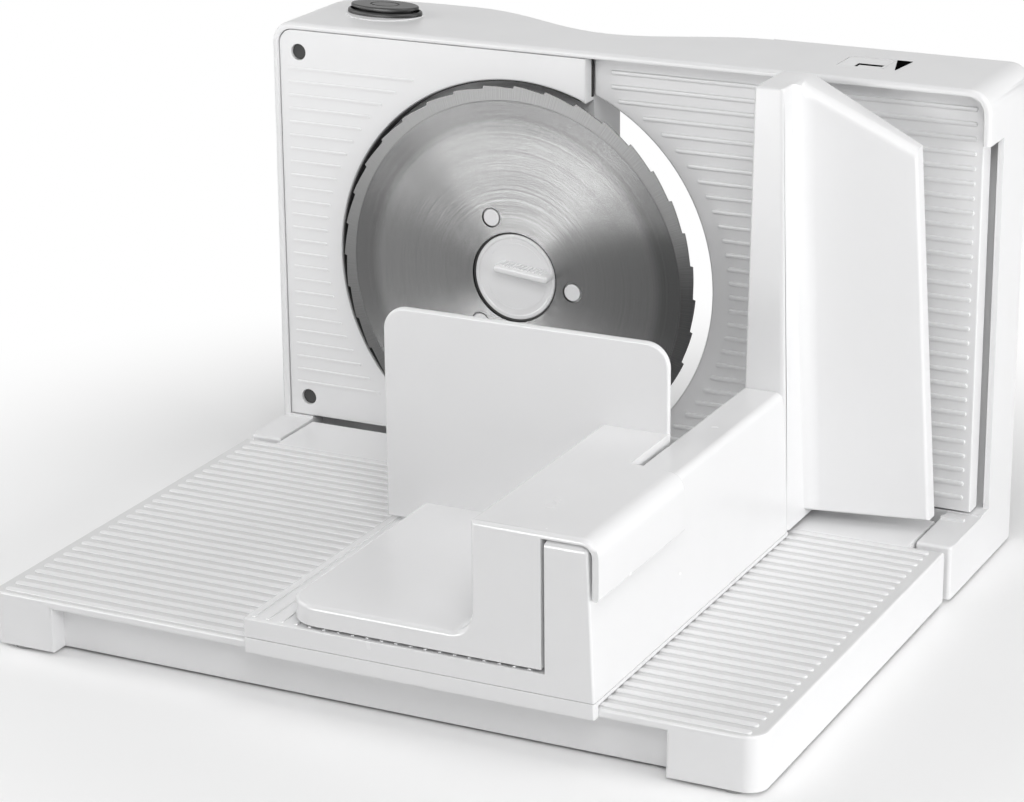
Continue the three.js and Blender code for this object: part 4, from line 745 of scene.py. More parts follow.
# %% Thickness plate
PLATE_LEFT, PLATE_RIGHT, PLATE_BOTTOM, PLATE_TOP = -12.2, 161.0, 26.0, 205.3
PLATE_FRONT, PLATE_REAR, PLATE_FACE, PLATE_RIM = 8.0, 17.0, 3.0, 2.0
PLATE_ARC = 88.0
RIB_PITCH, RIB_HEIGHT, RIB_WIDTH, RIB_CLEAR = 6.18, 0.8, 2.0, 8.0


def plate_rib(z):
    reach = max(PLATE_ARC ** 2 - (z - BLADE_Z) ** 2, 0)
    start = max(BLADE_X + math.sqrt(reach), PLATE_LEFT) + RIB_CLEAR
    return round_bar("plate_rib", (start, PLATE_RIGHT - 3), (PLATE_FRONT - RIB_HEIGHT, PLATE_FRONT + 0.8),
                     (z - RIB_WIDTH / 2, z + RIB_WIDTH / 2), 0.95, 0.55)


plate = block("slice_plate", (PLATE_LEFT, PLATE_RIGHT), (PLATE_FRONT, PLATE_REAR),
              (PLATE_BOTTOM, PLATE_TOP))
round_edges(plate, 5, lies(x=PLATE_RIGHT, z=PLATE_TOP), 8)
carve(plate, rod("arc", 'y', PLATE_ARC, (-9, 30), BLADE_AXIS, 192))
tray = block("tray", (PLATE_LEFT + PLATE_RIM, PLATE_RIGHT - PLATE_RIM), (PLATE_FRONT + PLATE_FACE, 30),
             (PLATE_BOTTOM + PLATE_RIM, PLATE_TOP - PLATE_RIM))
round_edges(tray, 3, lies(x=PLATE_RIGHT - PLATE_RIM, z=PLATE_TOP - PLATE_RIM), 6)
carve(tray, rod("arc", 'y', PLATE_ARC + PLATE_RIM, (-9, 40), BLADE_AXIS, 192))
carve(plate, tray)
flatten(plate)
round_edges(plate, 0.9, lies(y=PLATE_FRONT), 3, sharp=30)
rib_heights = []
z = PLATE_TOP - RIB_PITCH
while z > PLATE_BOTTOM + RIB_PITCH / 2:
    rib_heights.append(z)
    z -= RIB_PITCH
weld(plate, gathered("plate_ribs", [plate_rib(z) for z in rib_heights]))
finish(plate, "white_plastic", "thickness", "thickness_plate")
print(len(rib_heights), "ribs on the plate")

# %% [markdown]
# ## The serrated blade
#
# The blade is a thin disc with a bevelled rim and a wavy, saw-like edge. A circle is extruded
# ring by ring, from the back face round the rim to the front, and closed at the bore. Each
# tooth then falls away from its tip: corners at the same place in every tooth are scaled
# towards the axis together, and slid along the bevel so that it stays flat. The last corner of
# each tooth leans towards the next tip, which makes the steep side.

# %% Blade
TEETH, TOOTH_CORNERS, TOOTH_STEP, TOOTH_ROOT = 36, 8, 1.2, 82.0
BLADE_FRONT, BLADE_REAR = -4.2, -2.6
TOOTH_LEAN = math.radians(-1.0)
BORE = 20.3
EDGE_FRONT = BLADE_REAR - 0.35
BEVEL_SLOPE = (EDGE_FRONT - BLADE_FRONT) / (BLADE_RADIUS - BEVEL_RADIUS)
RINGS = [(60.0, BLADE_REAR), (BLADE_RADIUS, BLADE_REAR), (BLADE_RADIUS, EDGE_FRONT),
         (TOOTH_ROOT, EDGE_FRONT - BEVEL_SLOPE * (BLADE_RADIUS - TOOTH_ROOT)), (BEVEL_RADIUS, BLADE_FRONT),
         (BEVEL_RADIUS - 0.4, BLADE_FRONT + 0.1), (BEVEL_RADIUS - 0.8, BLADE_FRONT),
         (60.0, BLADE_FRONT), (40.0, BLADE_FRONT), (BORE, BLADE_FRONT)]
PIN_CIRCLE, PIN_HOLE, PIN_ANGLES = 28, 4.5, [math.radians(113 + 120 * pin) for pin in range(3)]
PINS = [(BLADE_X + PIN_CIRCLE * math.cos(angle), BLADE_Z + PIN_CIRCLE * math.sin(angle))
        for angle in PIN_ANGLES]

only()
bpy.ops.mesh.primitive_circle_add(vertices=TEETH * TOOTH_CORNERS, radius=BORE * MM,
                                  location=at(BLADE_X, BLADE_REAR, BLADE_Z), rotation=TURNS['y'])
blade = named("blade")
choose(blade, 'EDGE', everything)
axis_point = at(BLADE_X, 0, BLADE_Z)
previous = (BORE, BLADE_REAR)
for ring in RINGS:
    bpy.ops.mesh.extrude_edges_move(TRANSFORM_OT_translate={"value": (0, (ring[1] - previous[1]) * MM, 0)})
    draw_in(ring[0] / previous[0], axis_point)
    previous = ring
bpy.ops.mesh.select_all(action='SELECT')
bpy.ops.mesh.remove_doubles(threshold=0.001 * MM)


def off_axis(point):
    return math.hypot(point[0] - BLADE_X, point[2] - BLADE_Z)


def bore_ring(*ends):
    return all(abs(off_axis(end) - BORE) < 0.05 for end in ends) and abs(ends[0][1] - ends[1][1]) < 0.01


choose(blade, 'EDGE', bore_ring)
bpy.ops.mesh.bridge_edge_loops()


def at_step(centre, steps, every, step):
    """A test for corners at one step of a pattern that repeats round an axis along y."""
    def test(point):
        steps_round = math.atan2(point[2] - centre[1], point[0] - centre[0]) / (2 * math.pi) * steps
        return (round(-steps_round) - step) % every == 0
    return test


def tooth_corner(corner):
    """A test: the rim's corners at one place in every tooth."""
    here = at_step(BLADE_AXIS, TEETH * TOOTH_CORNERS, TOOTH_CORNERS, corner)
    return lambda point: off_axis(point) > TOOTH_ROOT + 0.5 and here(point)


for corner in range(1, TOOTH_CORNERS):
    on_rim = tooth_corner(corner)
    depth = TOOTH_STEP * corner / (TOOTH_CORNERS - 1)
    choose(blade, 'VERT', lambda point: on_rim(point) and point[1] < EDGE_FRONT + 0.1)
    slide(y=-BEVEL_SLOPE * depth)
    choose(blade, 'VERT', on_rim)
    draw_in(1 - depth / BLADE_RADIUS, axis_point)
bpy.ops.transform.rotate(value=TOOTH_LEAN, orient_axis='Y', center_override=axis_point)
choose(blade, 'FACE', everything)
bpy.ops.mesh.normals_make_consistent(inside=False)
only(blade)
for pin in PINS:
    carve(blade, rod("pin_hole", 'y', PIN_HOLE, (-9, 3), pin, 40))
finish(blade, "blade_steel", "blade_drive", "slicing_blade", angle=20)

# %% [markdown]
# ## The blade lock
#
# A sixth of a turn of this disc frees the blade for washing. It sits just below the blade's face,
# with a ribbed finger grip across it and two moulded arcs. Twelve ridges on the grip are copies
# of one small bar. A thin black ring fills the gap between the lock and the blade's bore, as painted shadow
# in that gap.

# %% Lock and drive
LOCK_RADIUS, LOCK_FRONT, LOCK_REAR = 19.3, -3.4, -1.0
GRIP_CENTRE, GRIP_TILT = (BLADE_X + 5.3, BLADE_Z + 3.7), math.radians(6)
GRIP_LENGTH, GRIP_WIDTH, GRIP_FRONT = 26.0, 4.0, -9.9
RIDGES = 12
LOCK_STEM, ARC_OUTER, ARC_INNER, ARC_GAP = 7.7, 15.2, 14.5, (BLADE_Z - 5, BLADE_Z + 9)

lock = rod("blade_lock", 'y', LOCK_RADIUS, (LOCK_FRONT, LOCK_REAR), BLADE_AXIS, 128)
round_edges(lock, 0.5, lies(y=LOCK_FRONT), 3, sharp=30)
choose(lock, 'FACE', lambda centre, normal: normal.y < -0.99)
bpy.ops.mesh.inset(thickness=1.1 * MM)
bpy.ops.mesh.inset(thickness=0.5 * MM, depth=-0.35 * MM)
only(lock)
weld(lock, rod("stem", 'y', LOCK_STEM, (LOCK_REAR - 0.5, 2.9), BLADE_AXIS, 48))
arcs = rod("arcs", 'y', ARC_OUTER, (LOCK_FRONT + 0.15, LOCK_FRONT + 1), BLADE_AXIS, 96)
carve(arcs, rod("inner", 'y', ARC_INNER, (-9, 9), BLADE_AXIS, 96),
      block("gap", (-100, 100), (-9, 9), ARC_GAP))
weld(lock, arcs)
across = (GRIP_CENTRE[0] - GRIP_LENGTH / 2, GRIP_CENTRE[0] + GRIP_LENGTH / 2)
grip_top = GRIP_CENTRE[1] + GRIP_WIDTH / 2
sides = (GRIP_CENTRE[1] - GRIP_WIDTH / 2, grip_top - 0.5)
grip = block("grip", across, (GRIP_FRONT, LOCK_FRONT + 1), sides)
round_edges(grip, 1.5, corners(x=across, z=sides), 5)
round_edges(grip, 1.1, lies(y=GRIP_FRONT), 4)
ridge_pitch, ridge_left = (GRIP_LENGTH - 5) / RIDGES, across[0] + 2.4
ridge = block("ridge", (ridge_left, ridge_left + ridge_pitch * 0.55),
              (GRIP_FRONT + 1.2, LOCK_FRONT + 0.8), (GRIP_CENTRE[1] + 0.5, grip_top))
round_edges(ridge, 0.3, lies(z=grip_top), 2)
weld(grip, row_of(ridge, RIDGES, (ridge_pitch, 0, 0)))
turned(grip, -GRIP_TILT, 'Y', at(GRIP_CENTRE[0], 0, GRIP_CENTRE[1]))
weld(lock, grip)
finish(lock, "gloss_white", "blade_lock", "blade_lock_knob")

# Painted shadow: a black ring in the gap between the lock and the blade's bore.
bore_shade_front = LOCK_FRONT + 0.1
bore_shade = rod("lock_bore_shade", 'y', BORE - 0.1, (bore_shade_front, BLADE_REAR + 0.4), BLADE_AXIS, 96)
round_edges(bore_shade, 0.15, lies(y=bore_shade_front), 2, sharp=30)
carve(bore_shade, rod("inner", 'y', LOCK_RADIUS + 0.1, (-9, 9), BLADE_AXIS, 96))
finish(bore_shade, "rubber", "blade_drive")

flange = copy_of("drive_flange", "drive_flange_body")
round_edges(flange, 0.2, both(lambda x, y, z: y < BLADE_REAR - 0.2), 2, sharp=40)
finish(flange, "gloss_white", "blade_drive", "drive_flange")

# %% [markdown]
# ## The folding base
#
# The base is a shallow tray turned upside down. Food slides on low ribs along it, a rail at the
# front guides the carriage, and two posts stand at its front corners. A tongue at the back
# reaches under the blade and turns on the hinge. One rib is modelled and copied to the rest.

# %% Base
BASE_LEFT, BASE_RIGHT, BASE_FRONT, BASE_REAR = -166.0, 164.5, -232.0, -34.0
BASE_FOOT, BASE_UNDER, BASE_TOP, BASE_WALL = 1.5, 20.0, 24.0, 2.5
LEFT_POST, RIGHT_POST, RECESS = -138.0, 127.5, -223.5
TONGUE_HALF, TONGUE_REAR, TONGUE_TOP = 149.8, -2.8, 24.5
PIVOT, KNUCKLE, KNUCKLE_LENGTH, HINGE_BORE = (-14.0, 13.0), 11, 22, 3.3
NOTCH_X, NOTCH_DEPTH = (-78.3, -11.7), 8
BASE_RIB_PITCH, BASE_RIB_WIDTH, BASE_RIB_HEIGHT, BASE_RIBS = 6.78, 3.0, 0.8, 29

base = block("folding_base", (BASE_LEFT, BASE_RIGHT), (BASE_FRONT, BASE_REAR), (BASE_FOOT, BASE_TOP))
round_edges(base, 4.5, lies(x=BASE_LEFT, y=BASE_FRONT), 8)
round_edges(base, 8, lies(x=BASE_RIGHT, y=BASE_FRONT), 10)
round_edges(base, 1.3, lies(z=BASE_TOP), 4)
round_edges(base, 0.6, lies(z=BASE_FOOT), 2)
tray_rear = BASE_REAR - BASE_WALL
carve(base, block("under", (BASE_LEFT + BASE_WALL, BASE_RIGHT - BASE_WALL), (RECESS + BASE_WALL, tray_rear),
                  (-5, BASE_UNDER)),
      block("recess", (LEFT_POST, RIGHT_POST), (BASE_FRONT - 9, RECESS), (-5, BASE_UNDER)))
flatten(base)
posts = corners(x=(LEFT_POST, RIGHT_POST), y=[BASE_FRONT])
round_edges(base, 1.2, any_of(posts, lies(y=BASE_FRONT, z=BASE_UNDER)), 3)
tongue = block("tongue", (-TONGUE_HALF, TONGUE_HALF), (tray_rear, TONGUE_REAR), (TONGUE_TOP - 4, TONGUE_TOP))
round_edges(tongue, 1.2, lies(z=TONGUE_TOP), 4)
weld(base, tongue)
for side in (-1, 1):
    ends = sorted((side * TONGUE_HALF, side * (TONGUE_HALF - KNUCKLE_LENGTH)))
    weld(base, rod("knuckle", 'x', KNUCKLE, ends, PIVOT, 48),
         block("web", ends, (tray_rear, PIVOT[0]), (PIVOT[1] - KNUCKLE, TONGUE_TOP - 1)))
carve(base, rod("bore", 'x', HINGE_BORE, (-170, 170), PIVOT, 32),
      block("notch", NOTCH_X, (TONGUE_REAR - NOTCH_DEPTH, 9), (-5, 40)))
rib_x, first = (BASE_LEFT + 5, BASE_RIGHT - 5), BASE_FRONT + 1.6
rib_y, rib_top = (first, first + BASE_RIB_WIDTH), BASE_TOP + BASE_RIB_HEIGHT
rib = block("base_rib", rib_x, rib_y, (BASE_TOP - 1, rib_top))
round_edges(rib, 1.45, corners(x=rib_x, y=rib_y), 5)
round_edges(rib, 0.5, lies(z=rib_top), 3)
weld(base, row_of(rib, BASE_RIBS, (0, BASE_RIB_PITCH, 0)))
finish(base, "ribbed_white", "base", "base_plate")

# %% [markdown]
# ## Sled and carriage
#
# The sled is a thin plate that runs on the ribs and hooks over the base's front rail. On it sits
# the carriage: a table with fine lengthwise ribs, and a tall hollow side wall that tapers towards
# its top. The wall is a block whose upper right edge is pulled in.

# %% Sled and carriage table
SLED_LEFT, SLED_RIGHT, SLED_FRONT, SLED_REAR = -46.7, 100.8, -236.0, -46.0
SLED_X = (SLED_LEFT, SLED_RIGHT)
SLED_BOTTOM, SLED_TOP, LIP_BOTTOM, LIP_REAR = 25.1, 26.7, 20.5, -232.3
TABLE_BOTTOM, TABLE_TOP, TABLE_REAR = 27.0, 35.0, -16.0
WALL_LEFT, WALL_TOP, WALL_REAR, WALL_TAPER = 81.0, 87.5, -47.3, 2.6
TABLE_RIB_PITCH, TABLE_RIBS = 6.15, 20
TABLE_WALL, HOLLOW_FOOT, HOLLOW_TOP = 2.5, 20, 32

sled = block("carriage_runner", SLED_X, (SLED_FRONT, SLED_REAR), (SLED_BOTTOM, SLED_TOP))
weld(sled, block("lip", SLED_X, (SLED_FRONT, LIP_REAR), (LIP_BOTTOM, SLED_TOP)))
flatten(sled)
round_edges(sled, 1.0, corners(x=SLED_X, y=[SLED_FRONT]), 3)
round_edges(sled, 1.4, lies(y=SLED_FRONT, z=LIP_BOTTOM), 4)
round_edges(sled, 0.3, lies(z=SLED_TOP), 2, sharp=30)
finish(sled, "white_plastic", "sled", "carriage_sled")

table_right, table_z, wall_y = WALL_LEFT - 0.3, (TABLE_BOTTOM, TABLE_TOP), (SLED_FRONT, WALL_REAR)
table = block("carriage", (SLED_LEFT, table_right), (SLED_FRONT, TABLE_REAR), table_z)
weld(table, block("seam", (table_right - 2, WALL_LEFT + 2), wall_y, table_z),
     block("side_wall", (WALL_LEFT, SLED_RIGHT), wall_y, (TABLE_BOTTOM, WALL_TOP)))
flatten(table)
choose(table, 'VERT', lies(x=SLED_RIGHT, z=WALL_TOP))
slide(x=-WALL_TAPER)
only(table)


def wall_crest(*ends):
    return all(end[2] > WALL_TOP - 4 for end in ends) and any(end[1] > SLED_FRONT + 1 for end in ends)


wall_rim = any_of(lies(y=SLED_FRONT, z=WALL_TOP), lies(x=SLED_RIGHT - WALL_TAPER, z=WALL_TOP))
round_edges(table, 3.0, wall_rim, 6)
round_edges(table, 1.1, wall_crest, 3, sharp=30)
round_edges(table, 1.0, both(lambda x, y, z: y < SLED_FRONT + 4 and x > 95), 3, sharp=30)
round_edges(table, 0.9, any_of(lies(x=SLED_LEFT, z=TABLE_TOP), lies(y=SLED_FRONT, z=TABLE_TOP),
                               lies(y=TABLE_REAR, z=TABLE_TOP), lies(x=SLED_LEFT, y=SLED_FRONT)), 3)
inner_front, line_top = SLED_FRONT + TABLE_WALL, TABLE_TOP + 0.5
carve(table, block("hollow", (SLED_LEFT + TABLE_WALL, WALL_LEFT - 3), (inner_front, TABLE_REAR - TABLE_WALL),
                   (HOLLOW_FOOT, HOLLOW_TOP)),
      block("hollow", (WALL_LEFT + TABLE_WALL, SLED_RIGHT - 5), (inner_front, WALL_REAR - TABLE_WALL),
            (HOLLOW_FOOT, WALL_TOP - 3)))
line = block("table_line", (SLED_LEFT + 3.15, SLED_LEFT + 4.45), (SLED_FRONT + 1.5, TABLE_REAR - 1.5),
             (TABLE_TOP - 1, line_top))
round_edges(line, 0.4, lies(z=line_top), 2)
weld(table, row_of(line, TABLE_RIBS, (TABLE_RIB_PITCH, 0, 0)))
finish(table, "gloss_white", "carriage", "carriage_table")

# %% [markdown]
# ## The hand guard
#
# The tall guard keeps the fingers from the blade: a tapering column that stands at the end of
# the side wall, and a thin wing leaning back from it. The CAD shape is right, so its copy gets a
# wide soft hollow between column and wing, a bevel band along the slanted top, and small radii.

# %% Hand guard
COLUMN_FOOT, COLUMN_BEND, GUARD_TOP = 27.0, 87.5, 212.0
WING_TIP, WING_FOOT = (141.5, -18.0, 187.0), (152, -18, 30)
FOLD_TOP, FOLD_FOOT = (93.6, -26.4, GUARD_TOP), (100.7, -27.3, 30)
guard = copy_of("hand_guard", "finger_guard")


def along(*route, slack=0.6):
    """A test: both ends of an edge lie on a route of straight stretches."""
    route = [Vector(point) for point in route]

    def near(point, start, end):
        share = (point - start).dot(end - start) / (end - start).length_squared
        return (point - start.lerp(end, min(max(share, 0), 1))).length < slack

    stretches = list(zip(route, route[1:]))
    return lambda *ends: any(all(near(Vector(end), *pair) for end in ends) for pair in stretches)


fold = along(FOLD_FOOT, FOLD_TOP, slack=1.5)
slope = along(WING_TIP, FOLD_TOP, slack=1.5)
wing_edge = along(WING_FOOT, WING_TIP)
wing_foot = along(FOLD_FOOT, WING_FOOT)
column_right = along((100.8, -47, COLUMN_FOOT), (98.2, -47, COLUMN_BEND), (93.6, -41.5, GUARD_TOP))
column_left = along((81, -47, COLUMN_FOOT), (81, -47, COLUMN_BEND), (81, -41.5, GUARD_TOP))
edges = [round_edges(guard, radius, test, segments, sharp=15) for radius, test, segments in (
    (7, fold, 8), (4.5, slope, 5), (2.2, column_right, 4), (1.4, wing_edge, 3),
    (1.0, any_of(column_left, wing_foot), 3))]
edges.append(round_edges(guard, 1.0, lies(z=GUARD_TOP), 3, sharp=30))
print("guard edges rounded:", edges)
finish(guard, "white_plastic", "carriage", "hand_guard")

# %% [markdown]
# ## The food holder
#
# The holder grips the last of the food and rides astride the side wall. Seen from the front its
# platform, its tall block and the hood over the wall make one flowing outline with a rounded
# edge, and an upright press plate stands behind. Blocks are welded into the outline first, so
# that one bevel can then run along it.

# %% Food holder
HOLDER_BOTTOM, PLATFORM_TOP, HOOD_TOP = 36.6, 45.0, 90.5
PLATFORM_LEFT, BLOCK_LEFT, BLOCK_RIGHT, HOOD_RIGHT = -29.0, 51.0, 79.5, 102.6
HOOD_REAR, PRESS_FRONT, PRESS_REAR, PRESS_LEFT, PRESS_TOP = -158.0, -121.5, -118.5, -46.0, 127.0
FLAP_BOTTOM, SKIN = 67.0, 2.5

block_y, hood_y = (SLED_FRONT, PRESS_FRONT + 0.5), (SLED_FRONT, HOOD_REAR)
holder = block("food_holder_body", (PLATFORM_LEFT, BLOCK_RIGHT), block_y, (HOLDER_BOTTOM, PLATFORM_TOP))
weld(holder, block("tower", (BLOCK_LEFT, BLOCK_RIGHT), block_y, (HOLDER_BOTTOM, HOOD_TOP)),
     block("hood", (BLOCK_LEFT + 5, HOOD_RIGHT), hood_y, (HOOD_TOP - SKIN, HOOD_TOP)),
     block("flap", (HOOD_RIGHT - SKIN, HOOD_RIGHT), hood_y, (FLAP_BOTTOM, HOOD_TOP)))
flatten(holder)
round_edges(holder, 14, lies(x=PLATFORM_LEFT, y=SLED_FRONT), 10)
round_edges(holder, 9, lies(x=BLOCK_LEFT, z=PLATFORM_TOP), 8)
round_edges(holder, 7, lies(x=HOOD_RIGHT, z=HOOD_TOP), 8)
round_edges(holder, 4.5, lies(x=HOOD_RIGHT - SKIN, z=HOOD_TOP - SKIN), 6)


def front_outline(*ends):
    """The upper outline of the front face, and the platform's edge round to its left side."""
    if all(abs(end[2] - PLATFORM_TOP) < 0.05 and end[0] < BLOCK_LEFT - 8 for end in ends):
        return any(end[1] < PRESS_FRONT - 2 for end in ends)
    inner = all(end[0] > BLOCK_RIGHT - 0.1 and end[2] < HOOD_TOP - SKIN + 0.1 for end in ends)
    flap = all(end[0] > HOOD_RIGHT - SKIN - 0.1 and end[2] < HOOD_TOP - 4 for end in ends)
    low = all(end[2] < HOLDER_BOTTOM + 0.1 for end in ends)
    return lies(y=SLED_FRONT)(*ends) and not (inner or flap or low)


def flap_foot(*ends):
    return lies(z=FLAP_BOTTOM)(*ends) and abs(ends[0][1] - ends[1][1]) > 9


def tower_crest(*ends):
    return lies(x=BLOCK_LEFT)(*ends) and all(end[2] > HOOD_TOP - 0.1 for end in ends)


def hood_rear(*ends):
    above = all(end[2] > FLAP_BOTTOM - 0.1 for end in ends)
    return lies(y=HOOD_REAR)(*ends) and above and any(end[2] > HOOD_TOP - 6 for end in ends)


round_edges(holder, 1.15, flap_foot, 4)
counts = [round_edges(holder, 2.1, front_outline, 5, sharp=30),
          round_edges(holder, 1.2, tower_crest, 3),
          round_edges(holder, 1.0, hood_rear, 3, 30)]
inner_y, inner_bottom = (SLED_FRONT + SKIN, PRESS_FRONT - SKIN), HOLDER_BOTTOM - 5
cavity = block("cavity", (PLATFORM_LEFT + SKIN, BLOCK_RIGHT - SKIN), inner_y,
               (inner_bottom, PLATFORM_TOP - SKIN))
round_edges(cavity, 11.5, lies(x=PLATFORM_LEFT + SKIN, y=SLED_FRONT + SKIN), 10)
shaft = block("shaft", (BLOCK_LEFT + SKIN, BLOCK_RIGHT - SKIN), inner_y, (inner_bottom, HOOD_TOP - SKIN))
carve(holder, cavity, shaft)
print("holder edges rounded:", counts)
finish(holder, "gloss_white", "holder", "food_holder")

press_x, press_y = (PRESS_LEFT, BLOCK_RIGHT), (PRESS_FRONT, PRESS_REAR)
press = block("press_plate", press_x, press_y, (HOLDER_BOTTOM, PRESS_TOP))
round_edges(press, 10, corners(x=press_x, z=[PRESS_TOP]), 10)
round_edges(press, 1.1, corners(y=press_y), 3)
finish(press, "gloss_white", "holder")

# %% [markdown]
# ## Switch button and bezel
#
# The long oval push button sits in a low black bezel at the top left. All ovals start as
# cylinders stretched along x. The bezel is countersunk, so that the button's cap can go down into
# it; a thin ring cut into the cap shows where to press. A flat white seat closes the housing's
# opening round the bezel. The spring below is a copy of the CAD coil.

# %% Button
BEZEL_FOOT, BEZEL_SEAT, BEZEL_TOP, BUTTON_TOP = 195.5, 209.3, 211.3, 213.5
CAP_HEIGHT, SEAT_TOP = 1.2, BEZEL_SEAT + 0.15


def oval(name, halves, z, sides=96):
    """An upright cylinder with an oval outline on the button's axis."""
    only()
    bpy.ops.mesh.primitive_cylinder_add(vertices=sides, radius=MM, depth=(z[1] - z[0]) * MM,
                                        location=at(BUTTON_X, BUTTON_Y, sum(z) / 2))
    bpy.context.object.scale = (*halves, 1)
    return named(name)


seat = oval("switch_seat", (18.0, 15.0), (BEZEL_SEAT - 0.4, SEAT_TOP))
round_edges(seat, 0.12, lies(z=SEAT_TOP), 2, sharp=30)
carve(seat, oval("bore", (15.6, 8.0), (BEZEL_FOOT, BUTTON_TOP)))
finish(seat, "white_plastic", "housing")

bezel = oval("bezel", (18.0, 10.2), (BEZEL_SEAT, BEZEL_TOP))
round_edges(bezel, 0.9, lies(z=BEZEL_TOP), 4, sharp=30)
weld(bezel, oval("neck", (15.4, 7.8), (BEZEL_FOOT, BEZEL_SEAT + 0.3)))
carve(bezel, oval("countersink", (16.9, 9.1), (BEZEL_SEAT + 0.4, BUTTON_TOP)),
      oval("bore", (14.4, 6.8), (BEZEL_FOOT + 1.5, BUTTON_TOP)),
      rod("stem_hole", 'z', 4.4, (BEZEL_FOOT - 5, BEZEL_SEAT), (BUTTON_X, BUTTON_Y), 32))
finish(bezel, "black_plastic", "housing", "button_bezel")

button = oval("switch_button", (16.5, 8.7), (BUTTON_TOP - CAP_HEIGHT, BUTTON_TOP))
round_edges(button, 0.7, lies(z=BUTTON_TOP), 4, sharp=30)
ring = oval("ring", (7.0, 4.4), (BUTTON_TOP - 0.3, BUTTON_TOP + 1))
carve(ring, oval("inner", (6.3, 3.7), (BUTTON_TOP - 2, BUTTON_TOP + 2)))
carve(button, ring)
weld(button, oval("body", (14.0, 6.4), (BUTTON_TOP - 5.5, BUTTON_TOP - CAP_HEIGHT + 0.4)),
     rod("stem", 'z', 4, (BEZEL_FOOT + 1.75, BUTTON_TOP - 5), (BUTTON_X, BUTTON_Y), 32))
finish(button, "black_plastic", "button", "power_button")

SPRING_FOOT, PRESS_TRAVEL = 197.05, 2.5
spring = copy_of("button_spring", "switch_spring")
finish(spring, "steel", "housing", "button_spring", angle=60)
at(BUTTON_X, BUTTON_Y, SPRING_FOOT)
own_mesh(spring)

# %% [markdown]
# ## Thickness scale on the top
#
# At the top right a small tray shows the set thickness: its left and rear walls slope down to a
# flat window, with a slot along two of its sides and a black fill under the slot as painted shade.
# A black pointer is printed beside it. The tray is a block with a tapered cutter sunk into it; two
# lower edges of the cutter are slid in.

# %% Scale tray and pointer
TRAY_X, TRAY_Y, TRAY_SEAT, TRAY_TOP = (92.5, 112.5), (20.0, 37.0), 207.6, 208.9
DIP_X, DIP_Y, DIP_FLOOR = (93.4, 111.8), (20.6, 36.6), 208.0
WINDOW_LEFT, WINDOW_REAR = 98.6, 30.0
SIDE_SLOT, REAR_SLOT = (WINDOW_LEFT, WINDOW_LEFT + 1.3), (WINDOW_REAR - 3.0, WINDOW_REAR)
SLOT_Y, SLOT_RIGHT = (22.5, WINDOW_REAR), 109.8
NECK_X, NECK_Y = (94.3, 110.7), (21.8, 35.2)

tray = block("scale_tray", TRAY_X, TRAY_Y, (TRAY_SEAT, TRAY_TOP))
weld(tray, block("neck", NECK_X, NECK_Y, (DIP_FLOOR - 0.9, TRAY_SEAT + 0.5)))
dip = block("dip", DIP_X, DIP_Y, (DIP_FLOOR, TRAY_TOP + 0.3))
choose(dip, 'VERT', lies(x=DIP_X[0], z=DIP_FLOOR))
slide(x=WINDOW_LEFT - DIP_X[0])
choose(dip, 'VERT', lies(y=DIP_Y[1], z=DIP_FLOOR))
slide(y=WINDOW_REAR - DIP_Y[1])
only(dip)
carve(tray, dip, block("side_slot", SIDE_SLOT, SLOT_Y, (200, DIP_FLOOR + 1)),
      block("rear_slot", (WINDOW_LEFT, SLOT_RIGHT), REAR_SLOT, (200, DIP_FLOOR + 1)))
round_edges(tray, 0.25, lies(z=TRAY_TOP), 2, sharp=20)
finish(tray, "gloss_white", "housing", "indicator_window")

# One black finish serves the printed pointer and the painted shade under the scale's slot.
FINISHES["ink_and_painted_shade"] = plastic("printed_ink_and_painted_shade", grey(0.002), grey(0.005), 0.8, 0.02, Specular_IOR_Level=0.0)
# Painted shade: a black sheet under the slot, where the slot is in shadow.
fill_z = (DIP_FLOOR - 0.8, DIP_FLOOR - 0.05)
slot_shade = block("scale_slot_shade", SIDE_SLOT, SLOT_Y, fill_z)
weld(slot_shade, block("rear", (WINDOW_LEFT + 0.5, SLOT_RIGHT), REAR_SLOT, fill_z))
flatten(slot_shade)
finish(slot_shade, "ink_and_painted_shade", "housing")

POINTER_X, POINTER_Y, POINTER_TIP = (113.0, 119.7), (19.7, 36.8), 118.2
pointer = block("scale_pointer", POINTER_X, POINTER_Y, (HOUSING_TOP - 0.1, HOUSING_TOP + 0.15))
choose(pointer, 'VERT', lies(y=POINTER_Y[0]))
bpy.ops.transform.resize(value=(0.05, 1, 1), center_override=at(POINTER_TIP, POINTER_Y[0], HOUSING_TOP))
only(pointer)
finish(pointer, "ink_and_painted_shade", "housing")

# %% [markdown]
# ## The thickness dial
#
# Turning this dial at the back slides the thickness plate. Its rim is fluted for the fingers. A
# cylinder with six corners to a flute is made, and the corners at each step of the flute are
# pulled in together, as the blade's teeth were. The end is drawn out in small steps that round
# its rim and dish its face.

# %% Dial
DIAL = (124.0, 115.0)
DIAL_RADIUS, DIAL_FRONT, DIAL_REAR = 20.0, 54.45, 68.45
FLUTES, FLUTE_CORNERS, FLUTE_DEPTH = 20, 6, 1.2
SPINDLE_HOLE, SPINDLE_END = 4.3, 61.4

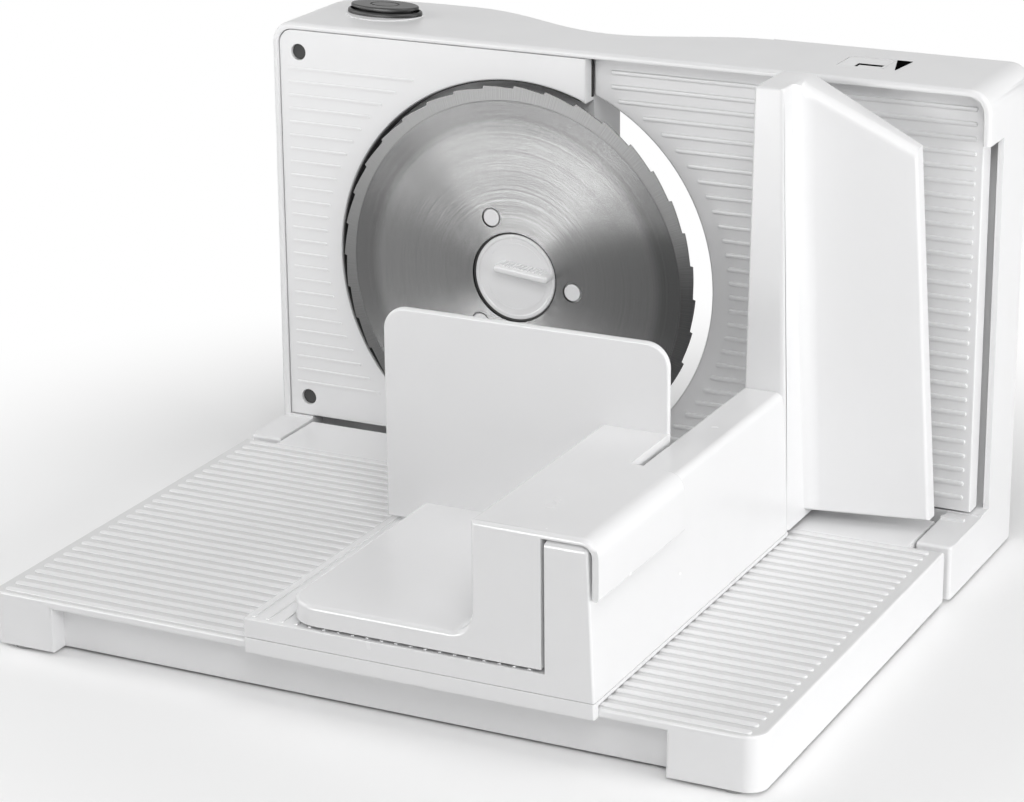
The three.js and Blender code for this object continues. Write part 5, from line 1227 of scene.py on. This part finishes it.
dial = rod("thickness_dial", 'y', DIAL_RADIUS, (DIAL_FRONT, DIAL_REAR - 1.2), DIAL, FLUTES * FLUTE_CORNERS)
dial_axis = at(DIAL[0], 0, DIAL[1])
for step in range(1, FLUTE_CORNERS):
    choose(dial, 'VERT', at_step(DIAL, FLUTES * FLUTE_CORNERS, FLUTE_CORNERS, step))
    draw_in(1 - FLUTE_DEPTH / DIAL_RADIUS * math.sin(math.pi * step / FLUTE_CORNERS), dial_axis)
choose(dial, 'FACE', lambda centre, normal: normal.y > 0.99)
for rise, scale in ((0.7, 0.985), (0.5, 0.955), (0.0, 0.86), (-1.0, 0.95)):
    bpy.ops.mesh.extrude_region_move(TRANSFORM_OT_translate={"value": (0, rise * MM, 0)})
    draw_in(scale, dial_axis)
only(dial)
mark_x, mark_z = (DIAL[0] - 0.9, DIAL[0] + 0.9), (DIAL[1] + 5, DIAL[1] + 13)
mark_rear = DIAL_REAR - 0.4
mark = block("mark", mark_x, (DIAL_REAR - 3, mark_rear), mark_z)
round_edges(mark, 0.85, corners(x=mark_x, z=mark_z), 4)
round_edges(mark, 0.3, lies(y=mark_rear), 2)
weld(dial, mark)
carve(dial, rod("spindle_hole", 'y', SPINDLE_HOLE, (DIAL_FRONT - 5, SPINDLE_END), DIAL, 32))
finish(dial, "white_plastic", "knob", "thickness_knob", angle=40)

# %% [markdown]
# ## Screws
#
# Cross-head screws hold the panel, the covers, the gear plate and the guard. One is modelled: a
# rounded head, a cross cut from two bars, and a shank with a point. It is copied to each place,
# and turned round where the head faces the back. The panel's two are blackened.

# %% Screws
FINISHES["black_zinc"] = metal("black_zinc", grey(0.012), grey(0.03), 0.45, 0.15)
HEAD_RADIUS, HEAD_HEIGHT, SHANK_RADIUS, SCREW_LENGTH = 3.1, 2.0, 1.6, 11.0
BAR_LONG, BAR_SHORT, BAR_DEPTH = (-1.9, 1.9), (-0.42, 0.42), (-3, 1.2)

pattern = rod("screw", 'y', HEAD_RADIUS, (0, HEAD_HEIGHT), (0, 0), 32)
round_edges(pattern, 1.1, lies(y=0), 4, sharp=30)
shank = rod("shank", 'y', SHANK_RADIUS, (HEAD_HEIGHT - 0.5, HEAD_HEIGHT + SCREW_LENGTH), (0, 0), 20)
choose(shank, 'VERT', lies(y=HEAD_HEIGHT + SCREW_LENGTH))
draw_in(0.3, at(0, 0, 0))
only(shank)
weld(pattern, shank)
carve(pattern, block("cross", BAR_LONG, BAR_DEPTH, BAR_SHORT), block("cross", BAR_SHORT, BAR_DEPTH, BAR_LONG))
body_of = {node: body for body, nodes in frame["record"]["behaviour"]["bodies"].items() for node in nodes}


def reach_of(node):
    """A node's lowest, highest and middle place in millimetres."""
    low, high = (spot(corner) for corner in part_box(node))
    return low, high, [(start + end) / 2 for start, end in zip(low, high)]


for node in [name for name in frame["nodes"] if "_screw" in name]:
    low, high, middle = reach_of(node)
    facing_front = node.startswith("panel")
    head = low[1] if facing_front else high[1]
    screw = copied(pattern, (middle[0], head, middle[2]))
    if not facing_front:
        turned(screw, math.pi, 'Z', at(middle[0], head, 0))
    screw.name = screw.data.name = "cross_head_" + node
    finish(screw, "black_zinc" if facing_front else "zinc", body_of[node], node)
bpy.data.objects.remove(pattern)

# %% [markdown]
# ## Feet, cord gland and rear covers
#
# Four rubber pads keep the slicer from sliding. Each has a rounded rim and a shallow ring, like a
# small suction cup. The mains lead would come out of the rubber gland at the back. The two rear
# covers have the right shape already, so their copies only get the small radius of the mould.

# %% Feet, gland and covers
PAD_RADIUS, PAD_HEIGHT = 5.0, 1.2
GLAND, GLAND_FRONT, GLAND_SEAT, GLAND_REAR = (-103.5, 28.0), 57.0, 62.3, 65.0
GLAND_HEAD, GLAND_NECK, GLAND_BORE = 8.5, 6, 3.2

FINISHES["pale_rubber"] = plastic("pale_rubber", grey(0.3), grey(0.36), 0.7, 0.3, 900)
pad = rod("pad", 'z', PAD_RADIUS, (0, PAD_HEIGHT), (0, 0), 40)
round_edges(pad, 0.35, lies(z=0), 2, sharp=30)
choose(pad, 'FACE', lambda centre, normal: normal.z < -0.99)
bpy.ops.mesh.inset(thickness=1.2 * MM)
bpy.ops.mesh.inset(thickness=0.4 * MM, depth=-0.4 * MM)
for node in [name for name in frame["nodes"] if "_foot_" in name]:
    middle = reach_of(node)[2]
    foot = copied(pad, (middle[0], middle[1], 0))
    foot.name = foot.data.name = "pad_" + node
    finish(foot, "pale_rubber", body_of[node], node)
bpy.data.objects.remove(pad)

gland = rod("cord_gland", 'y', GLAND_HEAD, (GLAND_SEAT, GLAND_REAR), GLAND, 48)
round_edges(gland, 0.9, lies(y=GLAND_REAR), 3, sharp=30)
weld(gland, rod("neck", 'y', GLAND_NECK, (GLAND_FRONT, GLAND_SEAT + 0.5), GLAND, 40))
carve(gland, rod("bore", 'y', GLAND_BORE, (GLAND_FRONT + 2.5, GLAND_REAR + 5), GLAND, 32))
round_edges(gland, 0.5, lies(y=GLAND_REAR), 2, sharp=40)
finish(gland, "rubber", "housing", "cord_inlet")


def soften(piece, width, angle=40):
    """A small radius on every sharp edge."""
    only(piece)
    bevel = piece.modifiers.new("soften", 'BEVEL')
    bevel.width, bevel.segments = width * MM, 2
    bevel.limit_method, bevel.angle_limit = 'ANGLE', math.radians(angle)
    bpy.ops.object.modifier_apply(modifier=bevel.name)


for node, name in (("motor_cover", "rear_cover"), ("mechanism_cover", "dial_cover")):
    cover = copy_of(node, name)
    soften(cover, 0.4)
    finish(cover, "white_plastic", "housing", node)

# %% [markdown]
# ## Everything else that shows
#
# The pieces left are the CAD model's own: gears, shafts, rods, pins and the motor. They keep
# their shape and get the finish that the record names for them.

# %% Finishes for the carried-over nodes
slots = {row["node"]: row["material_slot"] for row in frame["record"]["subparts"]}
for name, node in frame["nodes"].items():
    for holder_slot in node.material_slots:
        holder_slot.material = FINISHES[slots[name]]
print(len(slots), "nodes carry a finish")

# %% [markdown]
# ## Last, the size
#
# The dressed slicer must not outgrow its CAD box. Its own box is printed in millimetres.

# %% Size and finish
low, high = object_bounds()
print("visual box in mm:", [round(side / MM, 1) for side in high - low])
